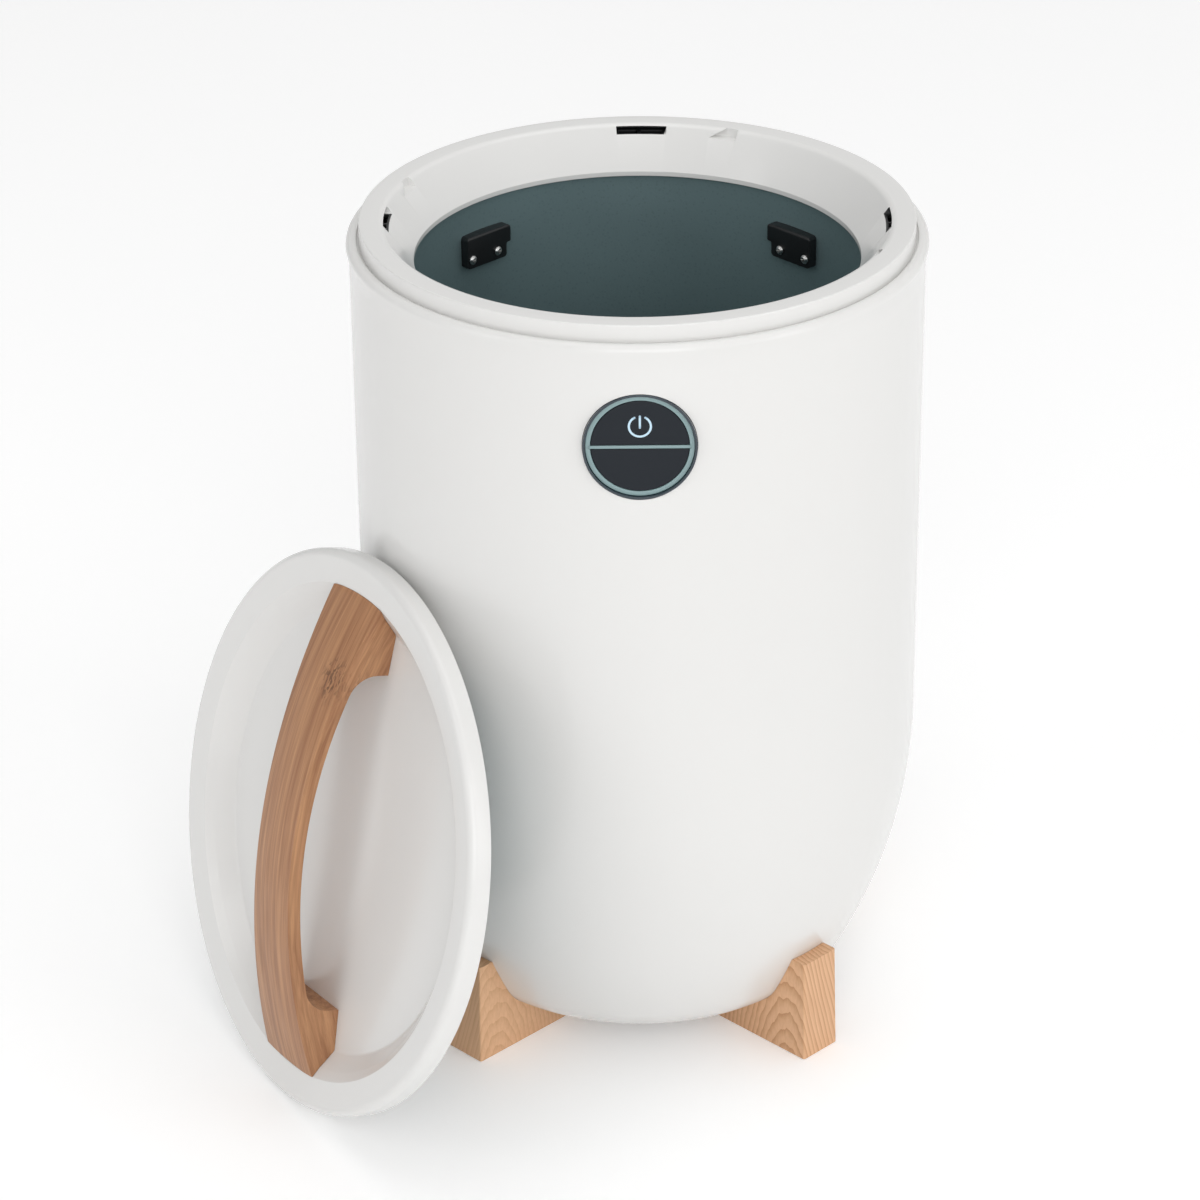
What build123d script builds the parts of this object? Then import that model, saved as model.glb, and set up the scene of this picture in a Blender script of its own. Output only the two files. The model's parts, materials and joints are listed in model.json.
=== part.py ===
from build123d import *
from math import asin, atan, cos, degrees, pi, radians, sin, sqrt, tan
import os

# Bucket towel warmer: a barrel on four wooden feet, a collar with bayonet pockets,
# a heated liner, a round control panel at the front (-Y) and a lid that leans on the left side.
# Millimetres, +Z up, origin on the barrel's axis at the floor.
# A bearing is an angle from the back (+Y) towards the right (+X).

# Clearances
seat = 0.1
running_gap = 0.3
sliding_gap = 0.2

# Barrel
shell_r = 158.5
shell_wall = 2.8
belly_radius = 305.0
heel_radius = 36.0
base_flat_r = 91.0
base_z = 18.4
lip_r = shell_r + 1.5
lip_round = 3.5
lip_top = 469.0
flare_height = 13.5
mouth_r = shell_r - 4.3
ledge_drop = 2.0
ledge_thickness = 3.0
ledge_inner_r = mouth_r - 8.2

# Base opening and its cover
cover_r = base_flat_r - 26.0
opening_r = cover_r - 9.0
cover_thickness = 2.6
opening_rim_height = 2.6
base_screw_ring = cover_r - 4.5
base_boss_r = 3.6
base_boss_height = 10.0
base_screw_count = 4
cover_slots = 10
cover_slot_ring = cover_r - 23.0
cover_slot_length = 14.0
cover_slot_width = 3.0

# Screws: shank radius, head radius, head height
small_screw = (1.25, 2.65, 1.9)
base_screw = (1.5, 2.9, 1.8)
wood_screw = (1.9, 3.8, 2.4)
board_screw = (1.0, 1.9, 1.2)
screw_hole_gap = 0.25

# Feet
foot_out = shell_r - 13.1
foot_in = base_flat_r - 22.2
foot_half_width = 13.8
foot_top_half_width = 13.2
foot_lean = 1.6
foot_top_z = 62.5
foot_round = 1.2
foot_bearings = {"front_left": -135, "front_right": 135, "rear_left": -45, "rear_right": 45}
foot_screw_radius = foot_in + 11.2
foot_screw_spread = 7.5
foot_screw_depth = 11.0

# Collar
collar_r = mouth_r - 1.5
collar_height = 9.1
collar_wall = 2.5
collar_round = 5.0
cone_slope = 53.5
throat_r = collar_r - 29.7
throat_z = lip_top - 13.8
throat_wall = 2.0
throat_length = 2.9
throat_overlap = 1.9
track_floor_drop = 5.1
track_roof_drop = 1.2
track_out_r = collar_r - 5.2
track_plate = 2.1
pocket_out_r = collar_r - 11.2
slot_start = -4.6
slot_end = 6.8
pocket_floor_end = 18.0
pocket_end = 21.8
pocket_ramp_round = 3.0
window_margin = 0.6
slot_rib = (0.4, 1.2)
bayonet_bearings = (0, 90, 270)
hook_count = 8
hook_width = 12.0
hook_out_r = ledge_inner_r - 0.6
hook_in_r = hook_out_r - 2.2
hook_barb_r = hook_out_r + 2.8
hook_barb_height = 2.8

# Liner and what heats it
liner_r = throat_r + throat_wall + 1.0
liner_wall = 1.2
liner_floor_z = 90.0
liner_corner = 9.0
liner_seat_r = liner_r + 1.5
liner_flange_r = liner_r + 11.5
liner_screw_ring = liner_r + 6.8
liner_screw_count = 8
liner_boss_r = 3.2
liner_boss_height = 8.0
film_thickness = 1.6
film_low = liner_floor_z + 40.0
film_high = throat_z - 60.2
film_tab = 8.0
film_tab_width = 26.2
sleeve_thickness = 4.5
sleeve_low = film_low - 12.0
sleeve_high = film_high + 10.0
thermostat_r = 8.2
thermostat_height = 9.5
thermostat_step = 1.2
thermostat_rim = 3.0
thermostat_place = (38.0, 26.0)
blade_size = (0.8, 4.8, 6.4)
blade_spread = 3.5
fuse_r = 2.0
fuse_length = 11.0
fuse_clip = (7.0, 6.0, 3.5)
fuse_place = (-36.0, 24.0)
sensor_lug = (10.0, 5.0, 1.0)
sensor_lug_r = 4.5
sensor_bead_r = 1.8
sensor_bead_length = 8.0
sensor_place = (-30.0, -34.0)

# Liner brackets
bracket_bearings = {-1: -44.5, 1: 46.2}
bracket_plane = liner_r - 7.0
bracket_low = throat_z - 39.8
bracket_step = bracket_low + 8.4
bracket_high = bracket_low + 18.8
bracket_outer = 17.5
bracket_inner_top = 16.0
bracket_inner_low = 12.7
bracket_edge = 0.4
bracket_corner = 2.0
bracket_bevel = 1.0
bracket_bevel_height = 0.8
bracket_screw_z = bracket_low + 5.4
bracket_screw_outer = 14.1
bracket_screw_inner = 5.4
nut_flats = 5.5
nut_height = 2.4

# Control panel, sizes along its own axis are depths behind the bezel's front
panel_z = lip_top - 57.5
panel_front = shell_r + 0.2
bezel_r = 30.2
bezel_bore = 28.9
bezel_tube_bore = 28.0
bezel_depth = 14.1
bezel_flange_r = 34.5
bezel_flange_depth = 7.0
bezel_flange_thickness = 1.6
panel_hole_gap = 0.25
ring_face_depth = 1.7
ring_thickness = 2.6
ring_inner = 26.1
bar_height = 2.0
bar_offset = -0.4
key_flange_r = 27.6
key_flange_thickness = 1.4
key_stem_r = 2.6
key_stem_length = 1.6
plunger_r = 1.7
plunger_length = 2.0
switch_centre = 12.5
switch_side = 6.2
switch_height = 3.5
switch_gap = 1.2
switch_well = 2.4
board_thickness = 1.6
board_r = 27.5
board_lug_depth = 1.6
board_lug_r = 2.3
board_screw_ring = 25.6
board_screw_bearings = (0, 120, 240)
led_ring = 21.5
led_size = (3.0, 1.6, 0.8)
connector_size = (12.0, 4.4, 8.0)

# Power board on the base cover
power_board_size = (88.0, 62.0)
pillar_height = 9.0
pillar_r = 3.0
pillar_inset = 5.0
transformer_size = (30.0, 26.0, 24.0)
relay_size = (28.0, 12.0, 16.0)
capacitor_r = 6.0
capacitor_length = 20.0
terminal_size = (30.0, 10.0, 12.0)
terminal_inset = 1.0
terminal_well_r = 2.2
terminal_well_depth = 3.0
transformer_place = (-20.0, 2.0)
relay_place = (18.0, -16.0)
capacitor_place = (14.0, 8.0)

# Wires
cable_r = 1.6
lead_r = 0.8
cable_bend = 14.0
lead_bend = 8.0
short_bend = 5.0
cable_down_z = 96.0
cable_cross_z = 56.0
cable_foot_y = -24.0
lead_spread = 4.0
lead_down_z = 84.0
lead_cross_z = 60.0
lead_outer_x = 70.0
lead_foot_x = 36.0
lead_jog = (8.0, 6.0)
lead_jog_z = (52.0, 44.0)

# Cord gland, at a turn below the barrel's widest ring
gland_turn = 20.0
gland_bore_r = 3.75
gland_inner_r = 4.4
gland_shank_r = 6.0
gland_head_r = 9.5
gland_head = 4.2
gland_seat_gap = 0.4
gland_mouth_round = 0.8
gland_length = 13.0
gland_nut_flats = 17.0
gland_nut_height = 4.0

# Lid, heights are above its crest when it lies flat
lid_r = lip_r - 1.2
lid_skirt = 12.6
lid_edge_round = 4.5
lid_wall = 2.2
lid_hem_round = 0.6
ring_outer_rise = 0.6
dish_edge_r = lid_r - 19.1
dish_edge_drop = 2.0
dish_wall_r = dish_edge_r - 5.2
dish_wall_drop = 6.1
dish_floor_r = dish_wall_r - 9.2
dish_floor_drop = 14.7
lug_in_r = dish_wall_r
lug_out_r = pocket_out_r - 1.0
lug_turn = 45.0
lug_top_drop = 6.2
lug_bottom_drop = 9.4
lug_span = 8.0
pan_r = throat_r - 2.0
pan_depth = 26.3
pan_round = 1.5
pan_wall = 1.5
seal_r = pan_r + 7.5
seal_height = 3.4
pad_r = pan_r - 21.0
lid_boss_ring = pan_r - 13.0
lid_boss_r = 3.4
lid_screw_count = 6

# Lid handle, along its length
handle_rise = 29.2
handle_end_drop = 1.2
handle_half_length = dish_edge_r - 2.7
handle_middle_width = 38.0
handle_end_width = 52.0
handle_thickness = 7.8
handle_end_thickness = 8.6
handle_foot_start = handle_half_length - 38.0
handle_foot_fillet = 12.0
handle_edge_round = 1.0
handle_screw_place = pan_r - 10.0
handle_screw_spread = 10.0
handle_screw_depth = 9.0

# How the lid leans: bearings here are from the front (-Y) towards the left (-X)
lid_lean = 14.27
lid_bearing = 56.8
lid_facing = 58.85
handle_roll = 5.27

# Worked-out places of the barrel
belly_x = shell_r - belly_radius
heel_z = base_z + heel_radius
belly_z = heel_z + sqrt((belly_radius - heel_radius) ** 2 - (base_flat_r - belly_x) ** 2)
belly_turn = degrees(asin((belly_z - heel_z) / (belly_radius - heel_radius)))
ledge_top = lip_top - ledge_drop
ledge_bottom = ledge_top - ledge_thickness
collar_top = lip_top + collar_height
throat_low = throat_z - throat_length
liner_top = throat_low + throat_overlap
track_floor = collar_top - track_floor_drop
track_roof = collar_top - track_roof_drop
cone_top_r = throat_r + (collar_top - throat_z) / tan(radians(cone_slope))
cover_top = base_z + cover_thickness
opening_rim_z = cover_top + opening_rim_height
floor_in_z = base_z + shell_wall

# Worked-out places of the liner's layers
liner_out_r = liner_r + liner_wall
film_in_r = liner_out_r + running_gap
film_out_r = film_in_r + film_thickness
sleeve_in_r = film_out_r + running_gap
liner_underside = liner_floor_z - liner_wall

# Worked-out depths of the panel
ring_back = ring_face_depth + ring_thickness
key_back = ring_back + running_gap + key_flange_thickness
stem_end = key_back + key_stem_length
plunger_end = stem_end + plunger_length
switch_front = stem_end + switch_gap
board_front = switch_front + switch_height
board_back = board_front + board_thickness
panel_plane = Plane(origin=(0, -panel_front, panel_z), x_dir=(1, 0, 0), z_dir=(0, -1, 0))

# Worked-out places of the power board
board_z = cover_top + pillar_height
board_top = board_z + board_thickness
pillar_x = power_board_size[0] / 2 - pillar_inset
pillar_y = power_board_size[1] / 2 - pillar_inset
pillar_places = [(x, y) for x in (-pillar_x, pillar_x) for y in (-pillar_y, pillar_y)]

# Worked-out lid: its crest plane when it leans on the barrel and stands on its hem
pan_reach = (
    (pan_r - pan_round) * sin(radians(lid_lean))
    + (pan_depth - pan_round) * cos(radians(lid_lean))
    + pan_round
)
lid_twist = lid_facing - lid_bearing
lid_distance = (shell_r + running_gap + pan_reach) / cos(radians(lid_twist))
lid_crest_z = (
    (lid_r - lid_hem_round) * cos(radians(lid_lean))
    + (lid_skirt - lid_hem_round) * sin(radians(lid_lean))
    + lid_hem_round
)
lid_centre = (
    -lid_distance * sin(radians(lid_bearing)),
    -lid_distance * cos(radians(lid_bearing)),
    lid_crest_z,
)
lid_normal = Vector(
    -sin(radians(lid_facing)) * cos(radians(lid_lean)),
    -cos(radians(lid_facing)) * cos(radians(lid_lean)),
    sin(radians(lid_lean)),
)
lid_across = Vector(cos(radians(lid_facing)), -sin(radians(lid_facing)), 0)
lid_upward = lid_normal.cross(lid_across)
handle_along = lid_upward * cos(radians(handle_roll)) - lid_across * sin(radians(handle_roll))
lid_plane = Plane(origin=lid_centre, x_dir=handle_along, z_dir=lid_normal)


def outline(*corners):
    """Closed face in the XZ plane from (radius, height, corner rounding) triples."""
    points = [(r, z) for r, z, rounding in corners]
    roundings = [rounding for r, z, rounding in corners]
    return Plane.XZ * make_face(FilletPolyline(*points, radius=roundings, close=True))


def turned(*corners):
    """Solid turned about the vertical axis from an outline."""
    return revolve(outline(*corners), Axis.Z)


def turned_edges(*edges):
    """Solid turned about the vertical axis from a closed chain of edges."""
    return revolve(Plane.XZ * make_face(edges), Axis.Z)


def tube_wall(inner, outer, low, high):
    """Plain ring between two radii and two heights."""
    return turned((inner, low, 0), (outer, low, 0), (outer, high, 0), (inner, high, 0))


def bar(radius, low, high):
    """Round bar along Z between two heights."""
    return Pos(0, 0, low) * Cylinder(radius, high - low, align=(Align.CENTER, Align.CENTER, Align.MIN))


def sector(inner, outer, low, high, start, end):
    """Part of a ring between two bearings."""
    face = outline((inner, low, 0), (outer, low, 0), (outer, high, 0), (inner, high, 0))
    return Rot(0, 0, 90 - end) * revolve(face, Axis.Z, end - start)


def facing(bearing):
    """Turn that brings +X to a bearing."""
    return Rot(0, 0, 90 - bearing)


def round_places(radius, count, first):
    """Places on a circle, evenly spaced from a first bearing."""
    return [facing(first + 360 * k / count) * Pos(radius, 0, 0) for k in range(count)]


def pan_screw(size, length):
    """Screw along Z: shank from 0 down, domed head above 0."""
    shank_r, head_r, head = size
    crown = min(head_r, head) * 0.55
    head_solid = turned((0, 0, 0), (head_r, 0, 0), (head_r, head, crown), (0, head, 0))
    return head_solid + bar(shank_r, -length, 0)


def side_curve(offset):
    """Barrel's side below its widest ring, an offset inside the outer surface."""
    return (
        CenterArc((belly_x, belly_z), belly_radius - offset, 0, -belly_turn),
        CenterArc((base_flat_r, heel_z), heel_radius - offset, -belly_turn, belly_turn - 90),
    )


def gland_place():
    """Place on the barrel's back, with Z out of the surface."""
    turn = radians(gland_turn)
    centre = (0, belly_x + belly_radius * cos(turn), belly_z - belly_radius * sin(turn))
    return Plane(origin=centre, x_dir=(1, 0, 0), z_dir=(0, cos(turn), -sin(turn)))


def shell_body():
    """Turned wall of the barrel with its lip, ledge and base rim."""
    wall_r = shell_r - shell_wall
    flare_z = lip_top - lip_round - flare_height
    side_z = lip_top - lip_round
    flare_middle = (shell_r + (lip_r - shell_r) / 4, flare_z + flare_height / 2)
    shoulder_r = lip_r - lip_round
    lip_middle = (shoulder_r + lip_round * cos(pi / 4), side_z + lip_round * sin(pi / 4))
    rim_r = cover_r + shell_wall
    return turned_edges(
        *side_curve(0),
        Polyline(
            (base_flat_r, base_z),
            (cover_r + sliding_gap, base_z),
            (cover_r + sliding_gap, cover_top),
            (opening_r, cover_top),
            (opening_r, opening_rim_z),
            (rim_r, opening_rim_z),
            (rim_r, floor_in_z),
            (base_flat_r, floor_in_z),
        ),
        *side_curve(shell_wall),
        Polyline(
            (wall_r, belly_z),
            (wall_r, ledge_bottom),
            (ledge_inner_r, ledge_bottom),
            (ledge_inner_r, ledge_top),
            (mouth_r, ledge_top),
            (mouth_r, lip_top),
            (shoulder_r, lip_top),
        ),
        ThreePointArc((shoulder_r, lip_top), lip_middle, (lip_r, side_z)),
        ThreePointArc((lip_r, side_z), flare_middle, (shell_r, flare_z)),
        Line((shell_r, flare_z), (shell_r, belly_z)),
    )


def foot_screw_places():
    """Places of the wood screws on the barrel's floor."""
    return [
        facing(bearing) * Pos(foot_screw_radius, side * foot_screw_spread, floor_in_z)
        for bearing in foot_bearings.values()
        for side in (-1, 1)
    ]


def outer_shell():
    """Barrel with its panel hole, gland hole, screw holes and base bosses."""
    hole_r = bezel_r + panel_hole_gap
    body = shell_body()
    bosses = [
        place * bar(base_boss_r, cover_top, cover_top + base_boss_height)
        for place in round_places(base_screw_ring, base_screw_count, 0)
    ]
    body += bosses
    body -= [
        place * bar(base_screw[0], base_z, cover_top + base_boss_height - shell_wall)
        for place in round_places(base_screw_ring, base_screw_count, 0)
    ]
    body -= panel_plane * bar(hole_r, -2 * bezel_depth, shell_wall)
    body -= gland_place().location * bar(gland_shank_r + screw_hole_gap, -gland_length, gland_length)
    body -= [
        place * bar(wood_screw[0] + screw_hole_gap, -2 * shell_wall, shell_wall)
        for place in foot_screw_places()
    ]
    return body


def base_cover():
    """Plate that closes the bottom, with vent slots and screw holes."""
    plate = bar(cover_r, base_z, cover_top)
    slot = SlotOverall(cover_slot_length, cover_slot_width)
    slot_cut = extrude(slot, cover_thickness)
    plate -= [
        place * Pos(0, 0, base_z) * slot_cut
        for place in round_places(cover_slot_ring, cover_slots, 180 / cover_slots)
    ]
    head_pocket = bar(base_screw[1] + screw_hole_gap, base_z, base_z + base_screw[2])
    hole = bar(base_screw[0] + screw_hole_gap, base_z, cover_top)
    plate -= [
        place * (head_pocket + hole)
        for place in round_places(base_screw_ring, base_screw_count, 0)
    ]
    plate -= [
        Pos(x, y, base_z) * bar(small_screw[0], 0, cover_thickness) for x, y in pillar_places
    ]
    return plate


def base_screws():
    """Screws that hold the base cover, heads sunk in its pockets."""
    screw = Rot(180, 0, 0) * pan_screw(base_screw, base_boss_height - shell_wall)
    return Part() + [
        place * Pos(0, 0, base_z + base_screw[2]) * screw
        for place in round_places(base_screw_ring, base_screw_count, 0)
    ]


def foot(bearing):
    """Wooden wedge with a saddle cut to the barrel and pilot holes for its screws."""
    low = Rectangle(foot_out - foot_in, 2 * foot_half_width, align=(Align.MIN, Align.CENTER))
    length_top = foot_out - foot_lean - foot_in
    high = Rectangle(length_top, 2 * foot_top_half_width, align=(Align.MIN, Align.CENTER))
    block = loft([Pos(foot_in, 0, 0) * low, Pos(foot_in, 0, foot_top_z) * high])
    middle_x = (foot_in + foot_out) / 2
    upright = [edge for edge in block.edges() if edge.length >= foot_top_z and edge.center().X > middle_x]
    block = fillet(upright, foot_round)
    saddle = turned_edges(
        *side_curve(-seat),
        Polyline(
            (base_flat_r, base_z - seat),
            (0, base_z - seat),
            (0, belly_z),
            (shell_r + seat, belly_z),
        ),
    )
    block -= saddle
    pilot = bar(wood_screw[0] + seat / 2, base_z - foot_screw_depth - wood_screw[0], base_z)
    block -= [Pos(foot_screw_radius, side * foot_screw_spread, 0) * pilot for side in (-1, 1)]
    return facing(bearing) * block


def foot_screws():
    """Wood screws from inside the barrel into the feet."""
    screw = pan_screw(wood_screw, foot_screw_depth + shell_wall)
    return Part() + [place * screw for place in foot_screw_places()]


def collar_body():
    """Turned moulding of the collar: outer wall, flat top, inner cone and the lip inside the liner's mouth."""
    slope = radians(cone_slope)
    under_z = track_floor - track_plate
    under_foot_r = throat_r + collar_wall / sin(slope)
    under_r = under_foot_r + (under_z - throat_z) / tan(slope)
    inner_wall_r = collar_r - collar_wall
    return turned(
        (collar_r, ledge_top, 0),
        (collar_r, collar_top, 0.8),
        (cone_top_r, collar_top, collar_round),
        (throat_r, throat_z, 0.6),
        (throat_r, throat_low, 0),
        (throat_r + throat_wall, throat_low, 0),
        (throat_r + throat_wall, liner_top, 0),
        (liner_seat_r, liner_top, 0),
        (liner_seat_r, throat_z + (liner_seat_r - under_foot_r) * tan(slope), 0),
        (under_r, under_z, 0),
        (inner_wall_r, under_z, 0),
        (inner_wall_r, ledge_top, 0),
    )


def snap_hook():
    """Hook on +X that hangs from the collar and catches under the barrel's ledge."""
    barb_z = ledge_bottom - running_gap
    face = Plane.XZ * make_face(
        Polyline(
            (hook_in_r, track_floor - track_plate + seat),
            (hook_out_r, track_floor - track_plate + seat),
            (hook_out_r, barb_z),
            (hook_barb_r, barb_z),
            (hook_out_r, barb_z - hook_barb_height),
            (hook_in_r, barb_z - hook_barb_height),
            close=True,
        )
    )
    return extrude(face, hook_width / 2, both=True)


def pocket_ramp():
    """Slanted far end of a bayonet pocket, as the space it leaves."""
    middle = (pocket_floor_end + pocket_end) / 2
    reach = pocket_out_r * radians(pocket_end - pocket_floor_end) / 2
    over = pocket_ramp_round
    slant = 2 * reach / track_floor_drop
    face = Plane.YZ * make_face(
        FilletPolyline(
            (-reach - 2 * over, track_floor),
            (-reach, track_floor),
            (reach + slant * over, collar_top + over),
            (-reach - 2 * over, collar_top + over),
            radius=[0, pocket_ramp_round, 0, 0],
            close=True,
        )
    )
    block = Pos(throat_r, 0, 0) * extrude(mirror(face, Plane.XZ), collar_r - throat_r)
    return facing(middle) * block & bar(pocket_out_r, track_floor, collar_top + over)


def bayonet_cut():
    """Slot with its windows, and the open pocket beside it, at the back."""
    inner = throat_r + collar_wall
    over = window_margin
    low = track_floor - track_plate
    cut = sector(inner, track_out_r, track_floor, track_roof, slot_start, slot_end + over)
    for start, end in ((slot_start + over, slot_rib[0]), (slot_rib[1], slot_end - over)):
        cut += sector(liner_flange_r, hook_in_r - running_gap, low, track_floor, start, end)
    cut += sector(inner, pocket_out_r, track_floor, collar_top + pocket_ramp_round, slot_end, pocket_floor_end)
    return cut + pocket_ramp()


def collar_ring():
    """Collar with bayonet slots, open pockets, snap hooks and screw bosses."""
    body = collar_body()
    body += [
        facing(360 * (k + 0.5) / hook_count) * snap_hook() for k in range(hook_count)
    ]
    boss = bar(liner_boss_r, liner_top, liner_top + liner_boss_height)
    body += [place * boss for place in round_places(liner_screw_ring, liner_screw_count, 0)]
    pilot = bar(small_screw[0], liner_top, liner_top + liner_boss_height - 1)
    body -= [place * pilot for place in round_places(liner_screw_ring, liner_screw_count, 0)]
    bayonet = bayonet_cut()
    for bearing in bayonet_bearings:
        body -= Rot(0, 0, -bearing) * bayonet
    return body


def bracket_screw_places(side):
    """Places of a bracket's screws, with Z pointing out of the liner into the cavity."""
    return [
        facing(bracket_bearings[side]) * Pos(bracket_plane, lateral, bracket_screw_z) * Rot(0, -90, 0)
        for lateral in (-side * bracket_screw_outer, side * bracket_screw_inner)
    ]


def inner_liner():
    """Coated bucket with its flange and screw holes."""
    body = turned(
        (0, liner_underside, 0),
        (liner_out_r, liner_underside, liner_corner + liner_wall),
        (liner_out_r, liner_top - liner_wall, 0),
        (liner_flange_r, liner_top - liner_wall, 0),
        (liner_flange_r, liner_top, 0),
        (liner_r, liner_top, 0),
        (liner_r, liner_floor_z, liner_corner),
        (0, liner_floor_z, 0),
    )
    hole = bar(small_screw[0] + screw_hole_gap, liner_top - 2 * liner_wall, liner_top + liner_wall)
    body -= [place * hole for place in round_places(liner_screw_ring, liner_screw_count, 0)]
    wall_hole = bar(small_screw[0] + screw_hole_gap, bracket_plane - liner_out_r - liner_wall, 0)
    body -= [place * wall_hole for side in (-1, 1) for place in bracket_screw_places(side)]
    return body


def liner_screws():
    """Screws through the liner's flange up into the collar."""
    screw = Rot(180, 0, 0) * pan_screw(small_screw, liner_boss_height - 1 + liner_wall / 2)
    return Part() + [
        place * Pos(0, 0, liner_top - liner_wall) * screw
        for place in round_places(liner_screw_ring, liner_screw_count, 0)
    ]


def liner_bracket(side):
    """Black bracket on the liner's wall, wider at its upper part."""
    face = Plane.YZ * make_face(
        FilletPolyline(
            (-side * bracket_outer, bracket_low),
            (-side * bracket_outer, bracket_high),
            (side * bracket_inner_top, bracket_high),
            (side * bracket_inner_top, bracket_step),
            (side * bracket_inner_low, bracket_step),
            (side * bracket_inner_low, bracket_low),
            radius=[bracket_corner] * 3 + [bracket_corner / 2] * 2 + [bracket_corner],
            close=True,
        )
    )
    depth = liner_r - bracket_plane + 2 * liner_wall
    block = Pos(bracket_plane, 0, 0) * extrude(face, depth)
    front = block.faces().sort_by(Axis.X)[0]
    block = chamfer(front.edges(), bracket_edge)
    bevel = Plane.XZ * make_face(
        Polyline(
            (bracket_plane, bracket_high - bracket_bevel_height),
            (bracket_plane, bracket_high),
            (bracket_plane + bracket_bevel, bracket_high),
            close=True,
        )
    )
    block -= extrude(bevel, bracket_outer + bracket_corner, both=True)
    block = facing(bracket_bearings[side]) * block
    block &= bar(liner_r - seat, bracket_low - 1, bracket_high + 1)
    hole = bar(small_screw[0] + screw_hole_gap, bracket_plane - liner_out_r, liner_wall)
    return block - [place * hole for place in bracket_screw_places(side)]


def bracket_screws():
    """Pan-head screws through both brackets and the liner."""
    length = liner_out_r - bracket_plane + nut_height + running_gap
    screw = pan_screw(small_screw, length)
    return Part() + [place * screw for side in (-1, 1) for place in bracket_screw_places(side)]


def bracket_nuts():
    """Hexagon nuts behind the liner's wall."""
    nut = extrude(RegularPolygon(nut_flats / 2, 6, major_radius=False), nut_height)
    nut -= bar(small_screw[0] + seat / 2, 0, nut_height)
    depth = liner_out_r - bracket_plane + nut_height + seat / 2
    return Part() + [
        place * Pos(0, 0, -depth) * nut for side in (-1, 1) for place in bracket_screw_places(side)
    ]


def heating_film():
    """Heater wrapped round the liner, with a terminal tab at the right."""
    tab_reach = degrees(film_tab_width / 2 / film_out_r)
    tab = sector(film_in_r, film_out_r, film_low - film_tab, film_low, -tab_reach, tab_reach)
    return tube_wall(film_in_r, film_out_r, film_low, film_high) + facing(180) * tab


def insulation_sleeve():
    """Felt sleeve round the heater."""
    return tube_wall(sleeve_in_r, sleeve_in_r + sleeve_thickness, sleeve_low, sleeve_high)


def thermostat():
    """Disc thermostat under the liner's floor with two blade terminals."""
    x, y = thermostat_place
    low = liner_underside - thermostat_height
    cap = turned(
        (0, low, 0),
        (thermostat_r - thermostat_step, low, 0.5),
        (thermostat_r - thermostat_step, liner_underside - thermostat_rim, 0),
        (thermostat_r, liner_underside - thermostat_rim, 0.4),
        (thermostat_r, liner_underside, 0),
        (0, liner_underside, 0),
    )
    blade = Pos(0, 0, low + seat) * Box(*blade_size, align=(Align.CENTER, Align.CENTER, Align.MAX))
    return Pos(x, y, 0) * (cap + [Pos(side * blade_spread, 0, 0) * blade for side in (-1, 1)])


def thermal_fuse():
    """Thermal fuse lying in a clip under the liner's floor."""
    x, y = fuse_place
    body = Pos(0, 0, liner_underside - fuse_clip[2]) * Rot(0, 90, 0) * Cylinder(fuse_r, fuse_length)
    clip = Pos(0, 0, liner_underside - fuse_clip[2] / 2) * Box(*fuse_clip)
    return Pos(x, y, 0) * (body + clip)


def temperature_sensor():
    """Sensor bead in a lug under the liner's floor."""
    x, y = sensor_place
    length, width, height = sensor_lug
    tongue = Pos(length / 2, 0, 0) * Box(length, width, height)
    lug = Pos(0, 0, liner_underside - height / 2) * (Cylinder(sensor_lug_r, height) + tongue)
    bead_z = liner_underside - height - sensor_bead_r + 2 * seat
    bead = Pos(length, 0, bead_z) * Rot(0, 90, 0) * Cylinder(sensor_bead_r, sensor_bead_length)
    return Pos(x, y, 0) * (lug + bead)


def panel_bezel():
    """Dark round frame: front ring, shoulder for the light ring, rear tube, inner flange."""
    shoulder = -ring_back
    flange_front = -bezel_flange_depth
    body = turned(
        (bezel_bore, 0, 0.25),
        (bezel_r, 0, 0.35),
        (bezel_r, flange_front, 0),
        (bezel_flange_r, flange_front, 0),
        (bezel_flange_r, flange_front - bezel_flange_thickness, 0),
        (bezel_r, flange_front - bezel_flange_thickness, 0),
        (bezel_r, -bezel_depth, 0),
        (bezel_tube_bore, -bezel_depth, 0),
        (bezel_tube_bore, shoulder, 0),
        (bezel_bore, shoulder, 0),
    )
    reach = (bezel_tube_bore + bezel_r) / 2 - board_screw_ring
    web = Box(reach, 2 * board_lug_r, board_lug_depth, align=(Align.MIN, Align.CENTER, Align.MIN))
    lug = bar(board_lug_r, -board_front, -board_front + board_lug_depth) + Pos(0, 0, -board_front) * web
    lug -= bar(board_screw[0], -board_front, -board_front + board_lug_depth)
    places = [facing(bearing) * Pos(board_screw_ring, 0, 0) for bearing in board_screw_bearings]
    return panel_plane * (body + [place * lug for place in places])


def half_disc(radius, low, high, side):
    """Half of a disc above (side 1) or below (side -1) the panel's dividing bar."""
    edge = bar_height / 2 + sliding_gap
    centre = bar_offset + side * (edge + radius)
    return bar(radius, low, high) & (Pos(0, centre, (low + high) / 2) * Box(2 * radius, 2 * radius, high - low))


def light_ring():
    """Teal light ring with the bar between the two keys."""
    outer = bezel_bore - sliding_gap
    body = turned(
        (ring_inner, -ring_back, 0),
        (outer, -ring_back, 0),
        (outer, -ring_face_depth, 0.3),
        (ring_inner, -ring_face_depth, 0.3),
    )
    divider = Pos(0, bar_offset, -(ring_face_depth + ring_back) / 2) * Box(
        2 * ring_inner + 1, bar_height, ring_thickness
    )
    return panel_plane * (body + divider)


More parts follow.
